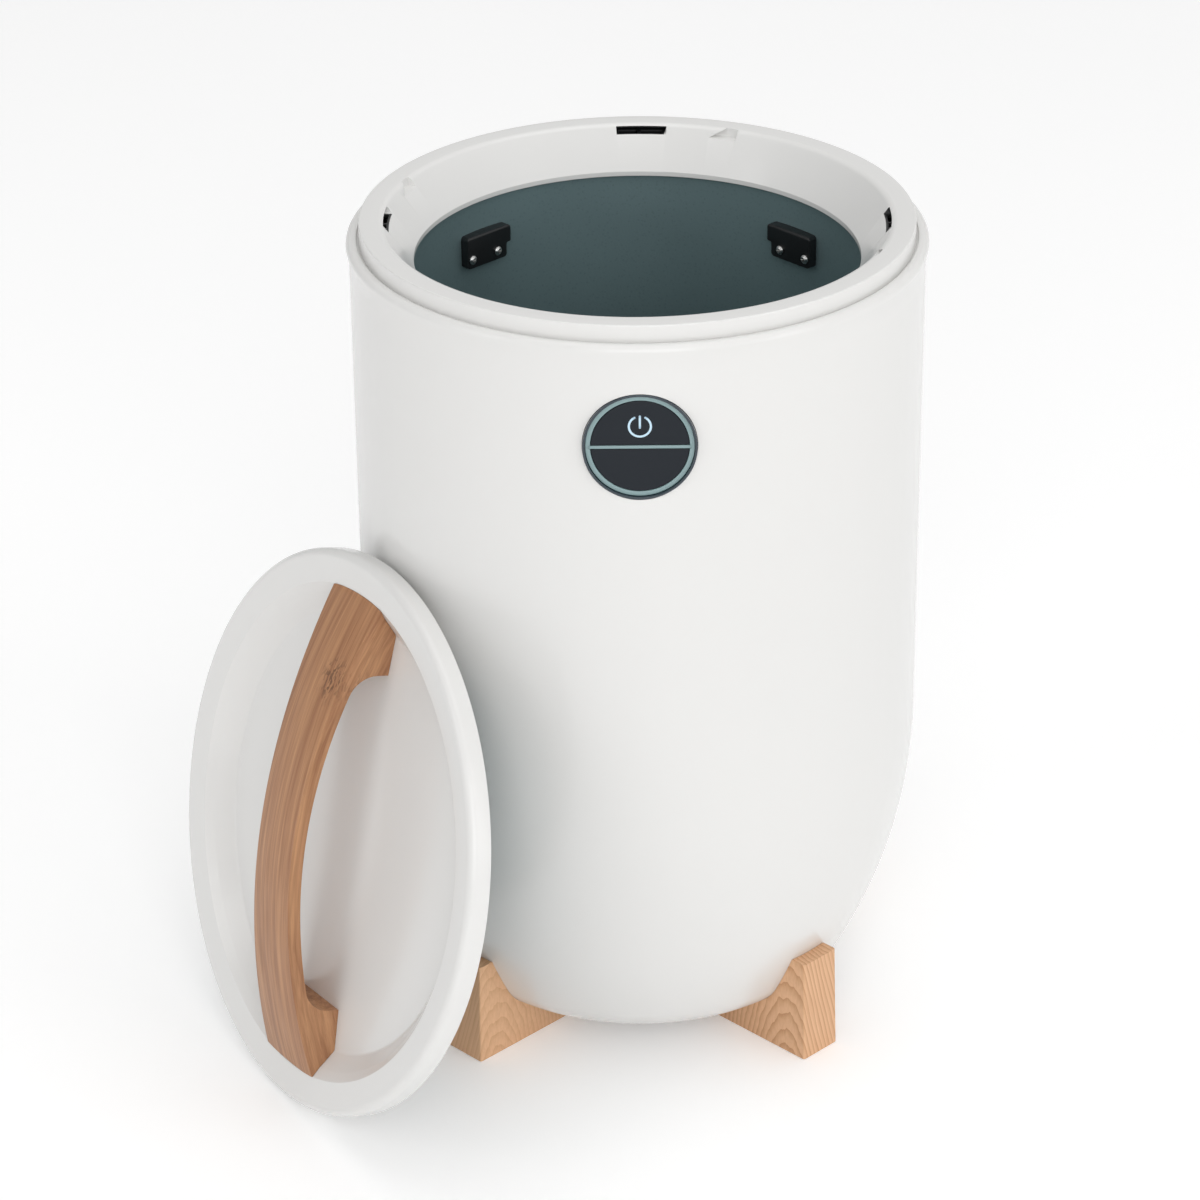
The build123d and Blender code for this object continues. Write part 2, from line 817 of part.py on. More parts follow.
def panel_key(side):
    """Half-moon key with a rear flange and a stem for its switch."""
    front = half_disc(ring_inner - sliding_gap, -key_back, -ring_face_depth, side)
    face = front.faces().sort_by(Axis.Z)[-1]
    front = fillet(face.edges(), 0.5)
    flange = half_disc(key_flange_r, -key_back, -ring_back - running_gap, side)
    stem = Pos(0, side * switch_centre, 0) * bar(key_stem_r, -stem_end, -key_back)
    return panel_plane * (front + flange + stem)


def plunger(side):
    """Plunger of a tact switch, pressed by its key."""
    foot = Pos(0, side * switch_centre, 0) * bar(plunger_r, -plunger_end, -stem_end)
    return panel_plane * foot


def tact_switch(side):
    """Switch body on the board, open where its plunger slides."""
    middle = -(switch_front + board_front) / 2
    body = Pos(0, side * switch_centre, middle) * Box(switch_side, switch_side, switch_height)
    well = Pos(0, side * switch_centre, 0) * bar(plunger_r + sliding_gap, -switch_front - switch_well, 0)
    return panel_plane * (body - well)


def indicator_leds():
    """Lamps on the control board behind the light ring."""
    width, depth, height = led_size
    lamp = Box(width, depth, height, align=(Align.CENTER, Align.CENTER, Align.MIN))
    places = [facing(30 + 60 * k) * Pos(led_ring, 0, -board_front) * Rot(0, 0, 90) for k in range(6)]
    return panel_plane * (Part() + [place * lamp for place in places])


def control_board():
    """Round board screwed to the bezel's lugs."""
    body = bar(board_r, -board_back, -board_front)
    body -= [
        facing(bearing) * Pos(board_screw_ring, 0, 0) * bar(board_screw[0] + screw_hole_gap, -board_back, -board_front)
        for bearing in board_screw_bearings
    ]
    return panel_plane * body


def control_board_screws():
    """Small screws from behind through the board."""
    screw = Rot(180, 0, 0) * pan_screw(board_screw, board_thickness + board_lug_depth - seat)
    return panel_plane * (
        Part()
        + [facing(bearing) * Pos(board_screw_ring, 0, -board_back) * screw for bearing in board_screw_bearings]
    )


def board_connector():
    """Plug housing on the back of the control board."""
    width, depth, height = connector_size
    return panel_plane * (Pos(0, 0, -board_back - depth / 2) * Box(width, height, depth))


def power_board():
    """Power board on pillars above the base cover."""
    length, width = power_board_size
    upward = (Align.CENTER, Align.CENTER, Align.MIN)
    plate = Pos(0, 0, board_z) * Box(length, width, board_thickness, align=upward)
    hole = bar(small_screw[0] + screw_hole_gap, board_z, board_top)
    return plate - [Pos(x, y, 0) * hole for x, y in pillar_places]


def board_pillars():
    """Pillars between the base cover and the power board."""
    pillar = bar(pillar_r, cover_top, board_z) - bar(small_screw[0], cover_top, board_z)
    return Part() + [Pos(x, y, 0) * pillar for x, y in pillar_places]


def board_screws():
    """Screws through the power board into the pillars."""
    screw = pan_screw(small_screw, board_thickness + pillar_height / 2)
    return Part() + [Pos(x, y, board_top) * screw for x, y in pillar_places]


def on_board(size, x, y):
    """Block standing on the power board."""
    return Pos(x, y, board_top) * Box(*size, align=(Align.CENTER, Align.CENTER, Align.MIN))


def power_board_parts():
    """Transformer, relay and capacitor on the power board."""
    transformer = on_board(transformer_size, *transformer_place)
    relay = on_board(relay_size, *relay_place)
    capacitor = Rot(0, 90, 0) * Cylinder(capacitor_r, capacitor_length)
    capacitor = Pos(*capacitor_place, board_top + capacitor_r) * capacitor
    return Part() + [transformer, relay, capacitor]


def terminal_block():
    """Screw terminals at the back edge of the power board."""
    length, depth, height = terminal_size
    y = power_board_size[1] / 2 - depth / 2 - terminal_inset
    well = Cylinder(terminal_well_r, 2 * terminal_well_depth)
    wells = [Pos(x * length / 4, y, board_top + height) * well for x in (-1.5, -0.5, 0.5, 1.5)]
    return on_board(terminal_size, 0, y) - wells


def wire(radius, bend, *points):
    """Round wire along straight runs joined by equal arcs."""
    path = FilletPolyline(*points, radius=bend)
    section = Plane(origin=path @ 0, z_dir=path % 0) * Circle(radius)
    return sweep(section, path)


def control_cable():
    """Cable from the power board up the front of the barrel to the control board."""
    y = -(panel_front - board_back - connector_size[1] / 2)
    top = panel_z - connector_size[2] / 2
    return wire(
        cable_r,
        cable_bend,
        (0, y, top),
        (0, y, cable_down_z),
        (0, cable_bend - base_flat_r, cable_cross_z),
        (0, cable_foot_y, cable_cross_z),
        (0, cable_foot_y, board_top),
    )


def heater_leads():
    """Two leads from the heater's tab to the power board."""
    r = (film_in_r + film_out_r) / 2
    leads = []
    for side in (-1, 1):
        y = side * lead_spread
        leads.append(
            wire(
                lead_r,
                lead_bend,
                (sqrt(r ** 2 - y ** 2), y, film_low - film_tab),
                (sqrt(r ** 2 - y ** 2), y, lead_down_z),
                (lead_outer_x, y, lead_cross_z),
                (lead_foot_x, y, lead_cross_z),
                (lead_foot_x, y, board_top),
            )
        )
    return Part() + leads


def thermostat_leads():
    """Two leads from the thermostat down to the power board."""
    low = liner_underside - thermostat_height + seat - blade_size[2]
    leads = []
    for side in (-1, 1):
        x, y = thermostat_place[0] + side * blade_spread, thermostat_place[1]
        foot_x, foot_y = x - lead_jog[0], y - lead_jog[1]
        leads.append(
            wire(
                lead_r,
                short_bend,
                (x, y, low),
                (x, y, lead_jog_z[0]),
                (foot_x, foot_y, lead_jog_z[1]),
                (foot_x, foot_y, board_top),
            )
        )
    return Part() + leads


def cord_gland():
    """Gland for the mains cord, through the barrel's back."""
    body = turned(
        (gland_bore_r, gland_head, gland_mouth_round),
        (gland_head_r, gland_head, 1.5),
        (gland_head_r, gland_seat_gap, 0),
        (gland_shank_r, gland_seat_gap, 0),
        (gland_shank_r, -gland_length, 0),
        (gland_inner_r, -gland_length, 0),
        (gland_inner_r, gland_seat_gap, 0),
        (gland_bore_r, gland_seat_gap, 0),
    )
    return gland_place().location * body


def gland_nut():
    """Nut on the gland inside the barrel."""
    nut = extrude(RegularPolygon(gland_nut_flats / 2, 6, major_radius=False), -gland_nut_height)
    nut -= bar(gland_shank_r + seat / 2, -gland_nut_height, 0)
    wall_r = belly_x + belly_radius * cos(radians(gland_turn)) - shell_wall
    hollow = (gland_nut_flats / sqrt(3)) ** 2 / (2 * wall_r)
    return gland_place().location * Pos(0, 0, -shell_wall - hollow - seat) * nut


def lid_shell_outline():
    """Turned wall of the lid: dished floor, sloping ring, rounded edge and skirt."""
    dish_slope = atan((dish_floor_drop - dish_wall_drop) / (dish_wall_r - dish_floor_r))
    shift = lid_wall * tan(dish_slope / 2)
    inner_top = ring_outer_rise - lid_wall
    return turned(
        (0, -dish_floor_drop, 0),
        (dish_floor_r, -dish_floor_drop, 3),
        (dish_wall_r, -dish_wall_drop, 10),
        (dish_edge_r, -dish_edge_drop, 0.7),
        (lid_r, ring_outer_rise, lid_edge_round),
        (lid_r, -lid_skirt, lid_hem_round),
        (lid_r - lid_wall, -lid_skirt, 0),
        (lid_r - lid_wall, inner_top, lid_edge_round - lid_wall),
        (dish_edge_r + shift, -dish_edge_drop - lid_wall, 0),
        (dish_wall_r + shift, -dish_wall_drop - lid_wall, 0),
        (dish_floor_r + shift, -dish_floor_drop - lid_wall, 3 + lid_wall),
        (0, -dish_floor_drop - lid_wall, 0),
    )


def handle_screw_places():
    """Places of the handle's screws under the dish floor, in the lid's frame."""
    low = -dish_floor_drop - lid_wall
    return [
        Pos(end * handle_screw_place, side * handle_screw_spread, low) for end in (-1, 1) for side in (-1, 1)
    ]


def lid_boss_places():
    """Places of the screws that hold the lid's inner cover."""
    return round_places(lid_boss_ring, lid_screw_count, 0)


def lid_top():
    """White lid with bayonet lugs, screw bosses and handle screw holes."""
    body = lid_shell_outline()
    under = -dish_floor_drop - lid_wall
    for bearing in bayonet_bearings:
        middle = bearing + lug_turn
        body += sector(
            lug_in_r, lug_out_r, -lug_bottom_drop, -lug_top_drop, middle - lug_span / 2, middle + lug_span / 2
        )
    boss = bar(lid_boss_r, -pan_depth + pan_wall, under)
    body += [place * boss for place in lid_boss_places()]
    body -= [place * bar(small_screw[0], -pan_depth, under) for place in lid_boss_places()]
    hole = bar(wood_screw[0] + screw_hole_gap, -1, lid_wall + 1)
    body -= [place * hole for place in handle_screw_places()]
    return lid_plane * body


def dish_space():
    """Space in the lid's dish that the handle's ends fill, just clear of the wall."""
    return turned(
        (0, -dish_floor_drop + seat, 0),
        (dish_floor_r - seat, -dish_floor_drop + seat, 3),
        (dish_wall_r - seat, -dish_wall_drop + seat, 10),
        (dish_edge_r - seat, -dish_edge_drop + seat, 0),
        (dish_edge_r - seat, handle_rise + handle_thickness, 0),
        (0, handle_rise + handle_thickness, 0),
    )


def lid_handle():
    """Bent bamboo bow: arched along its length, wider at its ends, standing in the dish."""
    top = handle_rise - handle_end_drop
    under_top = top - handle_thickness
    end = dish_edge_r + seat
    ratio = end / handle_half_length
    end_height = top - handle_rise * ratio ** 2
    under_end = top - handle_rise * (handle_foot_start / handle_half_length) ** 2 - handle_end_thickness
    floor = -dish_floor_drop + seat
    side = make_face(
        [
            ThreePointArc((-end, end_height), (0, top), (end, end_height)),
            Polyline((end, end_height), (end, floor), (handle_foot_start, floor), (handle_foot_start, under_end)),
            ThreePointArc(
                (handle_foot_start, under_end), (0, under_top), (-handle_foot_start, under_end)
            ),
            Polyline((-handle_foot_start, under_end), (-handle_foot_start, floor), (-end, floor), (-end, end_height)),
        ]
    )
    corners = [
        corner
        for corner in side.vertices()
        if abs(abs(corner.X) - handle_foot_start) < seat and abs(corner.Y - under_end) < seat
    ]
    side = fillet(corners, handle_foot_fillet)
    bow = extrude(Plane.XZ * side, handle_end_width, both=True)
    half_middle = handle_middle_width / 2
    half_end = half_middle + (handle_end_width - handle_middle_width) / 2 * ratio ** 2
    plan = make_face(
        [
            ThreePointArc((-end, half_end), (0, half_middle), (end, half_end)),
            Line((end, half_end), (end, -half_end)),
            ThreePointArc((end, -half_end), (0, -half_middle), (-end, -half_end)),
            Line((-end, -half_end), (-end, half_end)),
        ]
    )
    bow &= Pos(0, 0, -dish_floor_drop) * extrude(plan, 3 * handle_rise)
    long_edges = [edge for edge in bow.edges() if edge.length > handle_foot_start]
    bow = fillet(long_edges, handle_edge_round)
    bow &= dish_space()
    pilot = bar(wood_screw[0] + seat / 2, 0, handle_screw_depth + lid_wall + 1)
    bow -= [place * pilot for place in handle_screw_places()]
    return lid_plane * bow


def lid_handle_screws():
    """Wood screws from under the dish floor into the handle's feet."""
    screw = Rot(180, 0, 0) * pan_screw(wood_screw, handle_screw_depth + lid_wall)
    return lid_plane * (Part() + [place * screw for place in handle_screw_places()])


def lid_inner_cover():
    """Coated pan that closes the lid's underside."""
    top = -dish_floor_drop - lid_wall - seat
    body = turned(
        (0, -pan_depth, 0),
        (pan_r, -pan_depth, pan_round),
        (pan_r, top, 0),
        (pan_r - pan_wall, top, 0),
        (pan_r - pan_wall, -pan_depth + pan_wall, 0),
        (0, -pan_depth + pan_wall, 0),
    )
    countersink = turned(
        (0, -pan_depth, 0),
        (small_screw[1] + screw_hole_gap, -pan_depth, 0),
        (small_screw[0] + screw_hole_gap, -pan_depth + pan_wall, 0),
        (0, -pan_depth + pan_wall, 0),
    )
    body -= [place * countersink for place in lid_boss_places()]
    return lid_plane * body


def lid_cover_screws():
    """Countersunk screws that hold the lid's inner cover."""
    screw = turned(
        (0, -pan_depth, 0),
        (small_screw[1], -pan_depth, 0),
        (small_screw[0], -pan_depth + pan_wall, 0),
        (small_screw[0], -pan_depth + 7, 0),
        (0, -pan_depth + 7, 0),
    )
    return lid_plane * (Part() + [place * screw for place in lid_boss_places()])


def lid_insulation():
    """Felt disc between the lid's top and its inner cover."""
    return lid_plane * bar(pad_r, -pan_depth + pan_wall, -dish_floor_drop - lid_wall - seat)


def lid_seal():
    """Soft ring round the pan's wall under the lid."""
    top = -dish_floor_drop - lid_wall - seat
    body = turned(
        (pan_r + seat, top, 0),
        (dish_floor_r - 1, top, 0),
        (seal_r, top - seal_height / 2, 0.6),
        (seal_r, top - seal_height, 0.6),
        (pan_r + seat, top - seal_height, 0),
    )
    return lid_plane * body


pieces = {
    "outer_shell": outer_shell(),
    "base_cover": base_cover(),
    "base_screws": base_screws(),
    "foot_screws": foot_screws(),
    "collar_ring": collar_ring(),
    "inner_liner": inner_liner(),
    "liner_screws": liner_screws(),
    "liner_bracket_left": liner_bracket(-1),
    "liner_bracket_right": liner_bracket(1),
    "bracket_screws": bracket_screws(),
    "bracket_nuts": bracket_nuts(),
    "heating_film": heating_film(),
    "insulation_sleeve": insulation_sleeve(),
    "thermostat": thermostat(),
    "thermal_fuse": thermal_fuse(),
    "temperature_sensor": temperature_sensor(),
    "panel_bezel": panel_bezel(),
    "light_ring": light_ring(),
    "power_button": panel_key(1),
    "timer_button": panel_key(-1),
    "power_plunger": plunger(1),
    "timer_plunger": plunger(-1),
    "power_switch": tact_switch(1),
    "timer_switch": tact_switch(-1),
    "indicator_leds": indicator_leds(),
    "control_board": control_board(),
    "control_board_screws": control_board_screws(),
    "board_connector": board_connector(),
    "power_board": power_board(),
    "board_pillars": board_pillars(),
    "board_screws": board_screws(),
    "power_board_parts": power_board_parts(),
    "terminal_block": terminal_block(),
    "control_cable": control_cable(),
    "heater_leads": heater_leads(),
    "thermostat_leads": thermostat_leads(),
    "cord_gland": cord_gland(),
    "gland_nut": gland_nut(),
    "lid_top": lid_top(),
    "lid_handle": lid_handle(),
    "lid_handle_screws": lid_handle_screws(),
    "lid_inner_cover": lid_inner_cover(),
    "lid_cover_screws": lid_cover_screws(),
    "lid_insulation": lid_insulation(),
    "lid_seal": lid_seal(),
}
for name, bearing in foot_bearings.items():
    pieces["foot_" + name] = foot(bearing)

os.makedirs("parts", exist_ok=True)
for name, piece in pieces.items():
    export_step(piece, f"parts/{name}.step")
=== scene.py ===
import json
from math import asin, atan, atan2, cos, pi, radians, sin, sqrt, tan

import bpy
from bpy.props import FloatProperty, FloatVectorProperty, IntProperty, PointerProperty
from mathutils import Matrix, Vector


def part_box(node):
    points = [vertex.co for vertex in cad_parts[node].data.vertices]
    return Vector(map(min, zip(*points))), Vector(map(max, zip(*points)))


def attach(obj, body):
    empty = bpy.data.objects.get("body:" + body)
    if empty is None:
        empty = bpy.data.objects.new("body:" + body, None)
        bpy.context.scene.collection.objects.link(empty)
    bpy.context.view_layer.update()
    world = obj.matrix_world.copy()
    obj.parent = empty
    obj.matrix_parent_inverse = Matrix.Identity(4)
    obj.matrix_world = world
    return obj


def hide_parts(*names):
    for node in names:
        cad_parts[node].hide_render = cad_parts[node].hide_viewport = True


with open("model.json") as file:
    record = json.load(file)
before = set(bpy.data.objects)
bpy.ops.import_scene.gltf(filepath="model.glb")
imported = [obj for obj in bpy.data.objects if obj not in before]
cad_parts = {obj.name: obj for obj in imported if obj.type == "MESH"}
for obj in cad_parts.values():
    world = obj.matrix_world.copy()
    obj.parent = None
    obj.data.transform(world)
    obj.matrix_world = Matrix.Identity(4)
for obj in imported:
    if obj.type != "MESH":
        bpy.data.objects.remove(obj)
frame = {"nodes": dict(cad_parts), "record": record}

bl_info = {
    "name": "Bucket Towel Warmer",
    "version": (1, 0, 0),
    "blender": (4, 5, 0),
    "location": "View3D > Sidebar > Towel Warmer",
    "description": "Builds a bucket towel warmer whose lid leans on the barrel",
    "category": "Add Mesh",
}

MM = 0.001
WELD = 0.002 * MM  # points nearer than this are joined
SHARP_EDGE = radians(32)
WALL_RINGS = (300 * MM, 372 * MM)  # heights of extra rings on the straight wall
TRACK_FLOOR = 2.1 * MM  # thickness of the floor under the bayonet track
TRACK_BEARINGS = (0, pi / 2, 3 * pi / 2)  # from the back, clockwise from above
LINER_BORE = 126 * MM
BAR_SHIFT = -0.4 * MM  # height of the bar over the panel's middle
PANEL_GAP = 0.2 * MM  # gap round the keys and the light ring
DISH_EDGE = -2 * MM  # height of the dish's edge in the lid's frame
LUG_BEARINGS = (pi / 4, 3 * pi / 4, 7 * pi / 4)  # round the lid's own axis
FACE_FRONT = Matrix.Rotation(pi / 2, 4, "X")  # turns Z to the front

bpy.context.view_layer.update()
shell_low, shell_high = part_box("outer_shell")
collar_low, collar_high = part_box("collar_ring")
liner_low, liner_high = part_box("inner_liner")
bezel_low, bezel_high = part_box("panel_bezel")


def length(name, default, description):
    """Size in metres, written in millimetres here."""
    return FloatProperty(
        name=name, description=description, default=default * MM, min=0, unit="LENGTH", precision=5
    )


def turn(name, default, description):
    """Angle, written in degrees here."""
    return FloatProperty(name=name, description=description, default=radians(default), subtype="ANGLE")


def colour(name, default, description):
    """Scene-linear colour."""
    return FloatVectorProperty(
        name=name, description=description, default=default, size=3, min=0, max=1, subtype="COLOR"
    )


def lamp(name, default, description):
    """Power of a lamp in watts."""
    return FloatProperty(name=name, description=description, default=default, min=0, unit="POWER")


class BarrelSizes(bpy.types.PropertyGroup):
    lip_radius: length("Lip radius", shell_high.x / MM, "Radius of the rolled lip")
    lip_top: length("Lip top", shell_high.z / MM, "Height of the lip above the floor")
    base: length("Base height", shell_low.z / MM, "Height of the barrel's flat bottom")
    wall_radius: length("Wall radius", 158.5, "Radius of the straight wall")
    wall: length("Wall", 2.8, "Thickness of the moulded wall")
    belly: length("Belly radius", 305.0, "Radius of the long curve under the straight wall")
    heel: length("Heel radius", 36.0, "Radius of the short curve into the flat bottom")
    flat_radius: length("Flat radius", 91.0, "Radius of the flat bottom")
    lip_round: length("Lip rounding", 3.5, "Rounding of the lip's outer edge")
    flare: length("Flare height", 13.5, "Height over which the wall flares to the lip")
    mouth_radius: length("Mouth radius", 154.2, "Radius of the mouth that the collar sits in")
    ledge_radius: length("Ledge radius", 146.0, "Inner radius of the ledge that carries the collar")
    ledge_drop: length("Ledge drop", 2.0, "Depth of the ledge under the lip's top")
    cover_radius: length("Cover radius", 65.2, "Radius of the recess for the base cover")
    opening_radius: length("Opening radius", 56.0, "Radius of the opening above the base cover")
    segments: IntProperty(name="Segments", description="Steps round the barrel", default=256, min=48, max=512)


class CollarSizes(bpy.types.PropertyGroup):
    outer_radius: length("Outer radius", collar_high.x / MM, "Radius of the collar's outer wall")
    top: length("Top", collar_high.z / MM, "Height of the collar's flat top")
    throat_radius: length("Throat radius", 123.0, "Radius of the lip under the cone")
    throat: length("Throat height", 455.2, "Height where the cone meets the lip")
    lip: length("Lip length", 2.9, "Length of the lip that hangs into the liner's mouth")
    lip_wall: length("Lip wall", 2.0, "Thickness of the lip")
    slope: turn("Cone slope", 53.5, "Slope of the inner cone")
    rounding: length("Rounding", 5.0, "Rounding between the flat top and the cone")
    floor_drop: length("Track floor drop", 5.1, "Depth of the bayonet track's floor under the top")
    roof: length("Track roof", 1.2, "Thickness of the roof over the bayonet slot")
    slot_start: turn("Slot start", -4.6, "Bearing where each bayonet slot starts")
    slot_end: turn("Slot end", 6.8, "Bearing where the slot opens into its pocket")
    floor_end: turn("Pocket floor end", 18.0, "Bearing where the pocket's floor ends")
    pocket_end: turn("Pocket end", 21.8, "Bearing where the pocket's slanted end reaches the top")
    pocket_radius: length("Pocket radius", 141.5, "Outer radius of the open pockets")
    track_radius: length("Track radius", 147.5, "Outer radius of the hidden bayonet track")
    window_inner: length("Window inner radius", 137.5, "Inner radius of the windows in the track's floor")
    window_outer: length("Window outer radius", 142.9, "Outer radius of the windows in the track's floor")


class BracketSizes(bpy.types.PropertyGroup):
    left: turn("Left bearing", -44.5, "Bearing of the left bracket's face from the back")
    right: turn("Right bearing", 46.2, "Bearing of the right bracket's face from the back")
    plane: length("Plane", 119.0, "Distance of the bracket's face from the barrel's axis")
    low: length("Low edge", 415.4, "Height of the bracket's lower edge")
    step: length("Step", 423.8, "Height of the step on the inner side")
    high: length("High edge", 434.2, "Height of the bracket's upper edge")
    outer: length("Outer reach", 17.5, "Reach of the bracket to its outer side")
    inner_top: length("Inner reach", 16.0, "Reach to the inner side above the step")
    inner_low: length("Lower inner reach", 12.7, "Reach to the inner side under the step")
    corner: length("Corner rounding", 2.0, "Rounding of the bracket's corners")
    screw_height: length("Screw height", 420.8, "Height of the two screws")
    screw_outer: length("Outer screw", 14.1, "Reach to the outer screw")
    screw_inner: length("Inner screw", 5.4, "Reach to the inner screw")
    head: length("Screw head", 2.65, "Radius of the screw heads")


class PanelSizes(bpy.types.PropertyGroup):
    height: length("Height", (bezel_low.z + bezel_high.z) / 2 / MM, "Height of the panel's middle")
    front: length("Front", -bezel_low.y / MM, "Distance of the bezel's front from the barrel's axis")
    bezel: length("Bezel radius", 30.2, "Outer radius of the dark bezel")
    bore: length("Bezel bore", 28.9, "Inner radius of the dark bezel")
    ring: length("Ring bore", 26.1, "Inner radius of the light ring")
    recess: length("Recess", 1.7, "Depth of the keys behind the bezel's front")
    bar: length("Bar height", 2.0, "Height of the bar between the keys")
    symbol: length("Symbol radius", 5.75, "Radius of the power symbol's line")
    stroke: length("Stroke", 1.15, "Width of the power symbol's line")


class LidSizes(bpy.types.PropertyGroup):
    radius: length("Radius", 158.8, "Outer radius of the lid")
    skirt: length("Skirt", 12.6, "Depth of the lid's skirt under its crest")
    wall: length("Wall", 2.2, "Thickness of the moulded lid")
    edge: length("Edge rounding", 4.5, "Rounding of the lid's outer edge")
    dish_radius: length("Dish radius", 139.7, "Radius of the dish's edge")
    floor_radius: length("Floor radius", 125.3, "Radius of the dish's flat floor")
    floor_drop: length("Floor drop", 14.7, "Depth of the dish's floor under the crest")
    hem: length("Hem rounding", 0.6, "Rounding of the skirt's lower edge")
    pan_radius: length("Pan radius", 121.0, "Radius of the inner cover that touches the barrel")
    pan_depth: length("Pan depth", 26.3, "Depth of the inner cover under the crest")
    pan_round: length("Pan rounding", 1.5, "Rounding of the inner cover's lower edge")
    barrel_gap: length("Gap to the barrel", 0.3, "Gap between the leaning lid and the barrel's wall")
    lean: turn("Lean", 14.27, "Lean of the lid from upright")
    bearing: turn("Bearing", 56.8, "Bearing of the lid's middle, from the front to the left")
    facing: turn("Facing", 58.85, "Bearing that the lid faces, from the front to the left")
    roll: turn("Roll", 5.27, "Turn of the handle from the lid's uphill line")
    handle_rise: length("Handle rise", 28.0, "Height of the handle's middle above the crest")
    handle_fall: length("Handle fall", 29.2, "Drop of the handle from its middle to its ends")
    handle_half: length("Handle half length", 137.0, "Half the handle's length")
    handle_width: length("Handle width", 38.0, "Width of the handle's middle")
    handle_end: length("Handle end width", 52.0, "Width of the handle's ends")
    handle_thickness: length("Handle thickness", 7.8, "Thickness of the handle's middle")


class Finishes(bpy.types.PropertyGroup):
    white: colour("White", (0.81, 0.805, 0.79), "White moulded plastic")
    coating: colour("Coating", (0.185, 0.270, 0.285), "Dark coating of the liner")
    black: colour("Black", (0.009, 0.010, 0.011), "Black moulded plastic")
    bezel: colour("Bezel", (0.012, 0.026, 0.040), "Dark blue bezel")
    ring: colour("Ring", (0.24, 0.36, 0.37), "Light ring")
    key: colour("Key", (0.010, 0.014, 0.020), "Glossy key")
    symbol: colour("Symbol", (0.52, 0.70, 0.82), "Power symbol")
    wood_light: colour("Light wood", (0.80, 0.49, 0.28), "Early wood of the feet")
    wood_dark: colour("Dark wood", (0.57, 0.29, 0.14), "Late wood of the feet")
    bamboo_light: colour("Light bamboo", (0.56, 0.29, 0.14), "Light strips of the handle")
    bamboo_dark: colour("Dark bamboo", (0.35, 0.155, 0.07), "Dark fibres of the handle")
    steel: colour("Steel", (0.60, 0.60, 0.59), "Plated screws")


class StageSettings(bpy.types.PropertyGroup):
    lens: FloatProperty(
        name="Lens", description="Focal length", default=125.75, min=10, max=400, unit="CAMERA"
    )
    pitch: turn("Pitch", 27.208, "How far the camera looks down")
    roll: turn("Roll", -0.571, "Turn of the camera about its view")
    yaw: turn("Yaw", 0.3, "Turn of the camera's stand about the barrel's axis")
    distance: length("Distance", 2404.3, "Distance from the camera to the point it looks at")
    aim_x: FloatProperty(
        name="Aim X", description="Sideways place of the aim", default=-22.47 * MM, unit="LENGTH"
    )
    aim_z: length("Aim Z", 240.89, "Height of the aim")
    world: FloatProperty(
        name="World light", description="Strength of the surrounding light", default=0.62, min=0
    )
    left: FloatProperty(
        name="Left share", description="Share of the surrounding light that comes from the left",
        default=0.55, min=0, max=1, subtype="FACTOR"
    )
    key: lamp("Key light", 26, "Power of the left softbox")
    fill: lamp("Fill light", 30, "Power of the right softbox")
    front: lamp("Front light", 88, "Power of the front softbox")
    top: lamp("Top light", 30, "Power of the overhead softbox")


# Meshes

def start_mesh(name):
    """New object at the origin in edit mode, holding one vertex at the origin."""
    bpy.ops.object.select_all(action="DESELECT")
    bpy.ops.mesh.primitive_plane_add(size=MM, location=(0, 0, 0))
    piece = bpy.context.object
    piece.name = name
    piece.data.name = name
    bpy.ops.object.mode_set(mode="EDIT")
    bpy.ops.mesh.select_all(action="SELECT")
    bpy.ops.mesh.merge(type="CENTER")
    return piece


def draw_line(points):
    """Extrudes the selected vertex from point to point. Points are (x, z) in the XZ plane."""
    (x, z), rest = points[0], points[1:]
    bpy.ops.transform.translate(value=(x, 0, z))
    for next_x, next_z in rest:
        bpy.ops.mesh.extrude_region_move(TRANSFORM_OT_translate={"value": (next_x - x, 0, next_z - z)})
        x, z = next_x, next_z


def soften(corners, steps=5):
    """Closed outline from (x, z, rounding) corners, each rounding drawn as an arc."""
    points = []
    count = len(corners)
    for k, (x, z, rounding) in enumerate(corners):
        here = Vector((x, z))
        before = Vector(corners[k - 1][:2])
        after = Vector(corners[(k + 1) % count][:2])
        if rounding <= 0:
            points.append((x, z))
            continue
        back, ahead = (before - here).normalized(), (after - here).normalized()
        half = back.angle(ahead) / 2
        reach = rounding / tan(half)
        centre = here + (back + ahead).normalized() * (rounding / sin(half))
        first, last = here + back * reach - centre, here + ahead * reach - centre
        sweep = first.angle_signed(last)
        for step in range(steps + 1):
            turned = Matrix.Rotation(-sweep * step / steps, 2) @ first
            points.append(tuple(centre + turned))
    return points


def arc_points(centre, radius, start, end, steps):
    """Points on an arc in the XZ plane, angles from +X towards +Z."""
    return [
        (centre[0] + radius * cos(start + (end - start) * k / steps),
         centre[1] + radius * sin(start + (end - start) * k / steps))
        for k in range(steps + 1)
    ]


def close_mesh():
    """Joins what coincides, points the faces outwards and leaves edit mode."""
    bpy.ops.mesh.select_all(action="SELECT")
    bpy.ops.mesh.remove_doubles(threshold=WELD)
    bpy.ops.mesh.normals_make_consistent(inside=False)
    bpy.ops.object.mode_set(mode="OBJECT")


def select_only(piece):
    """Selects one piece and makes it active."""
    bpy.ops.object.select_all(action="DESELECT")
    piece.select_set(True)
    bpy.context.view_layer.objects.active = piece


def smooth(piece):
    """Smooth shading apart from sharp edges."""
    select_only(piece)
    bpy.ops.object.shade_smooth_by_angle(angle=SHARP_EDGE)


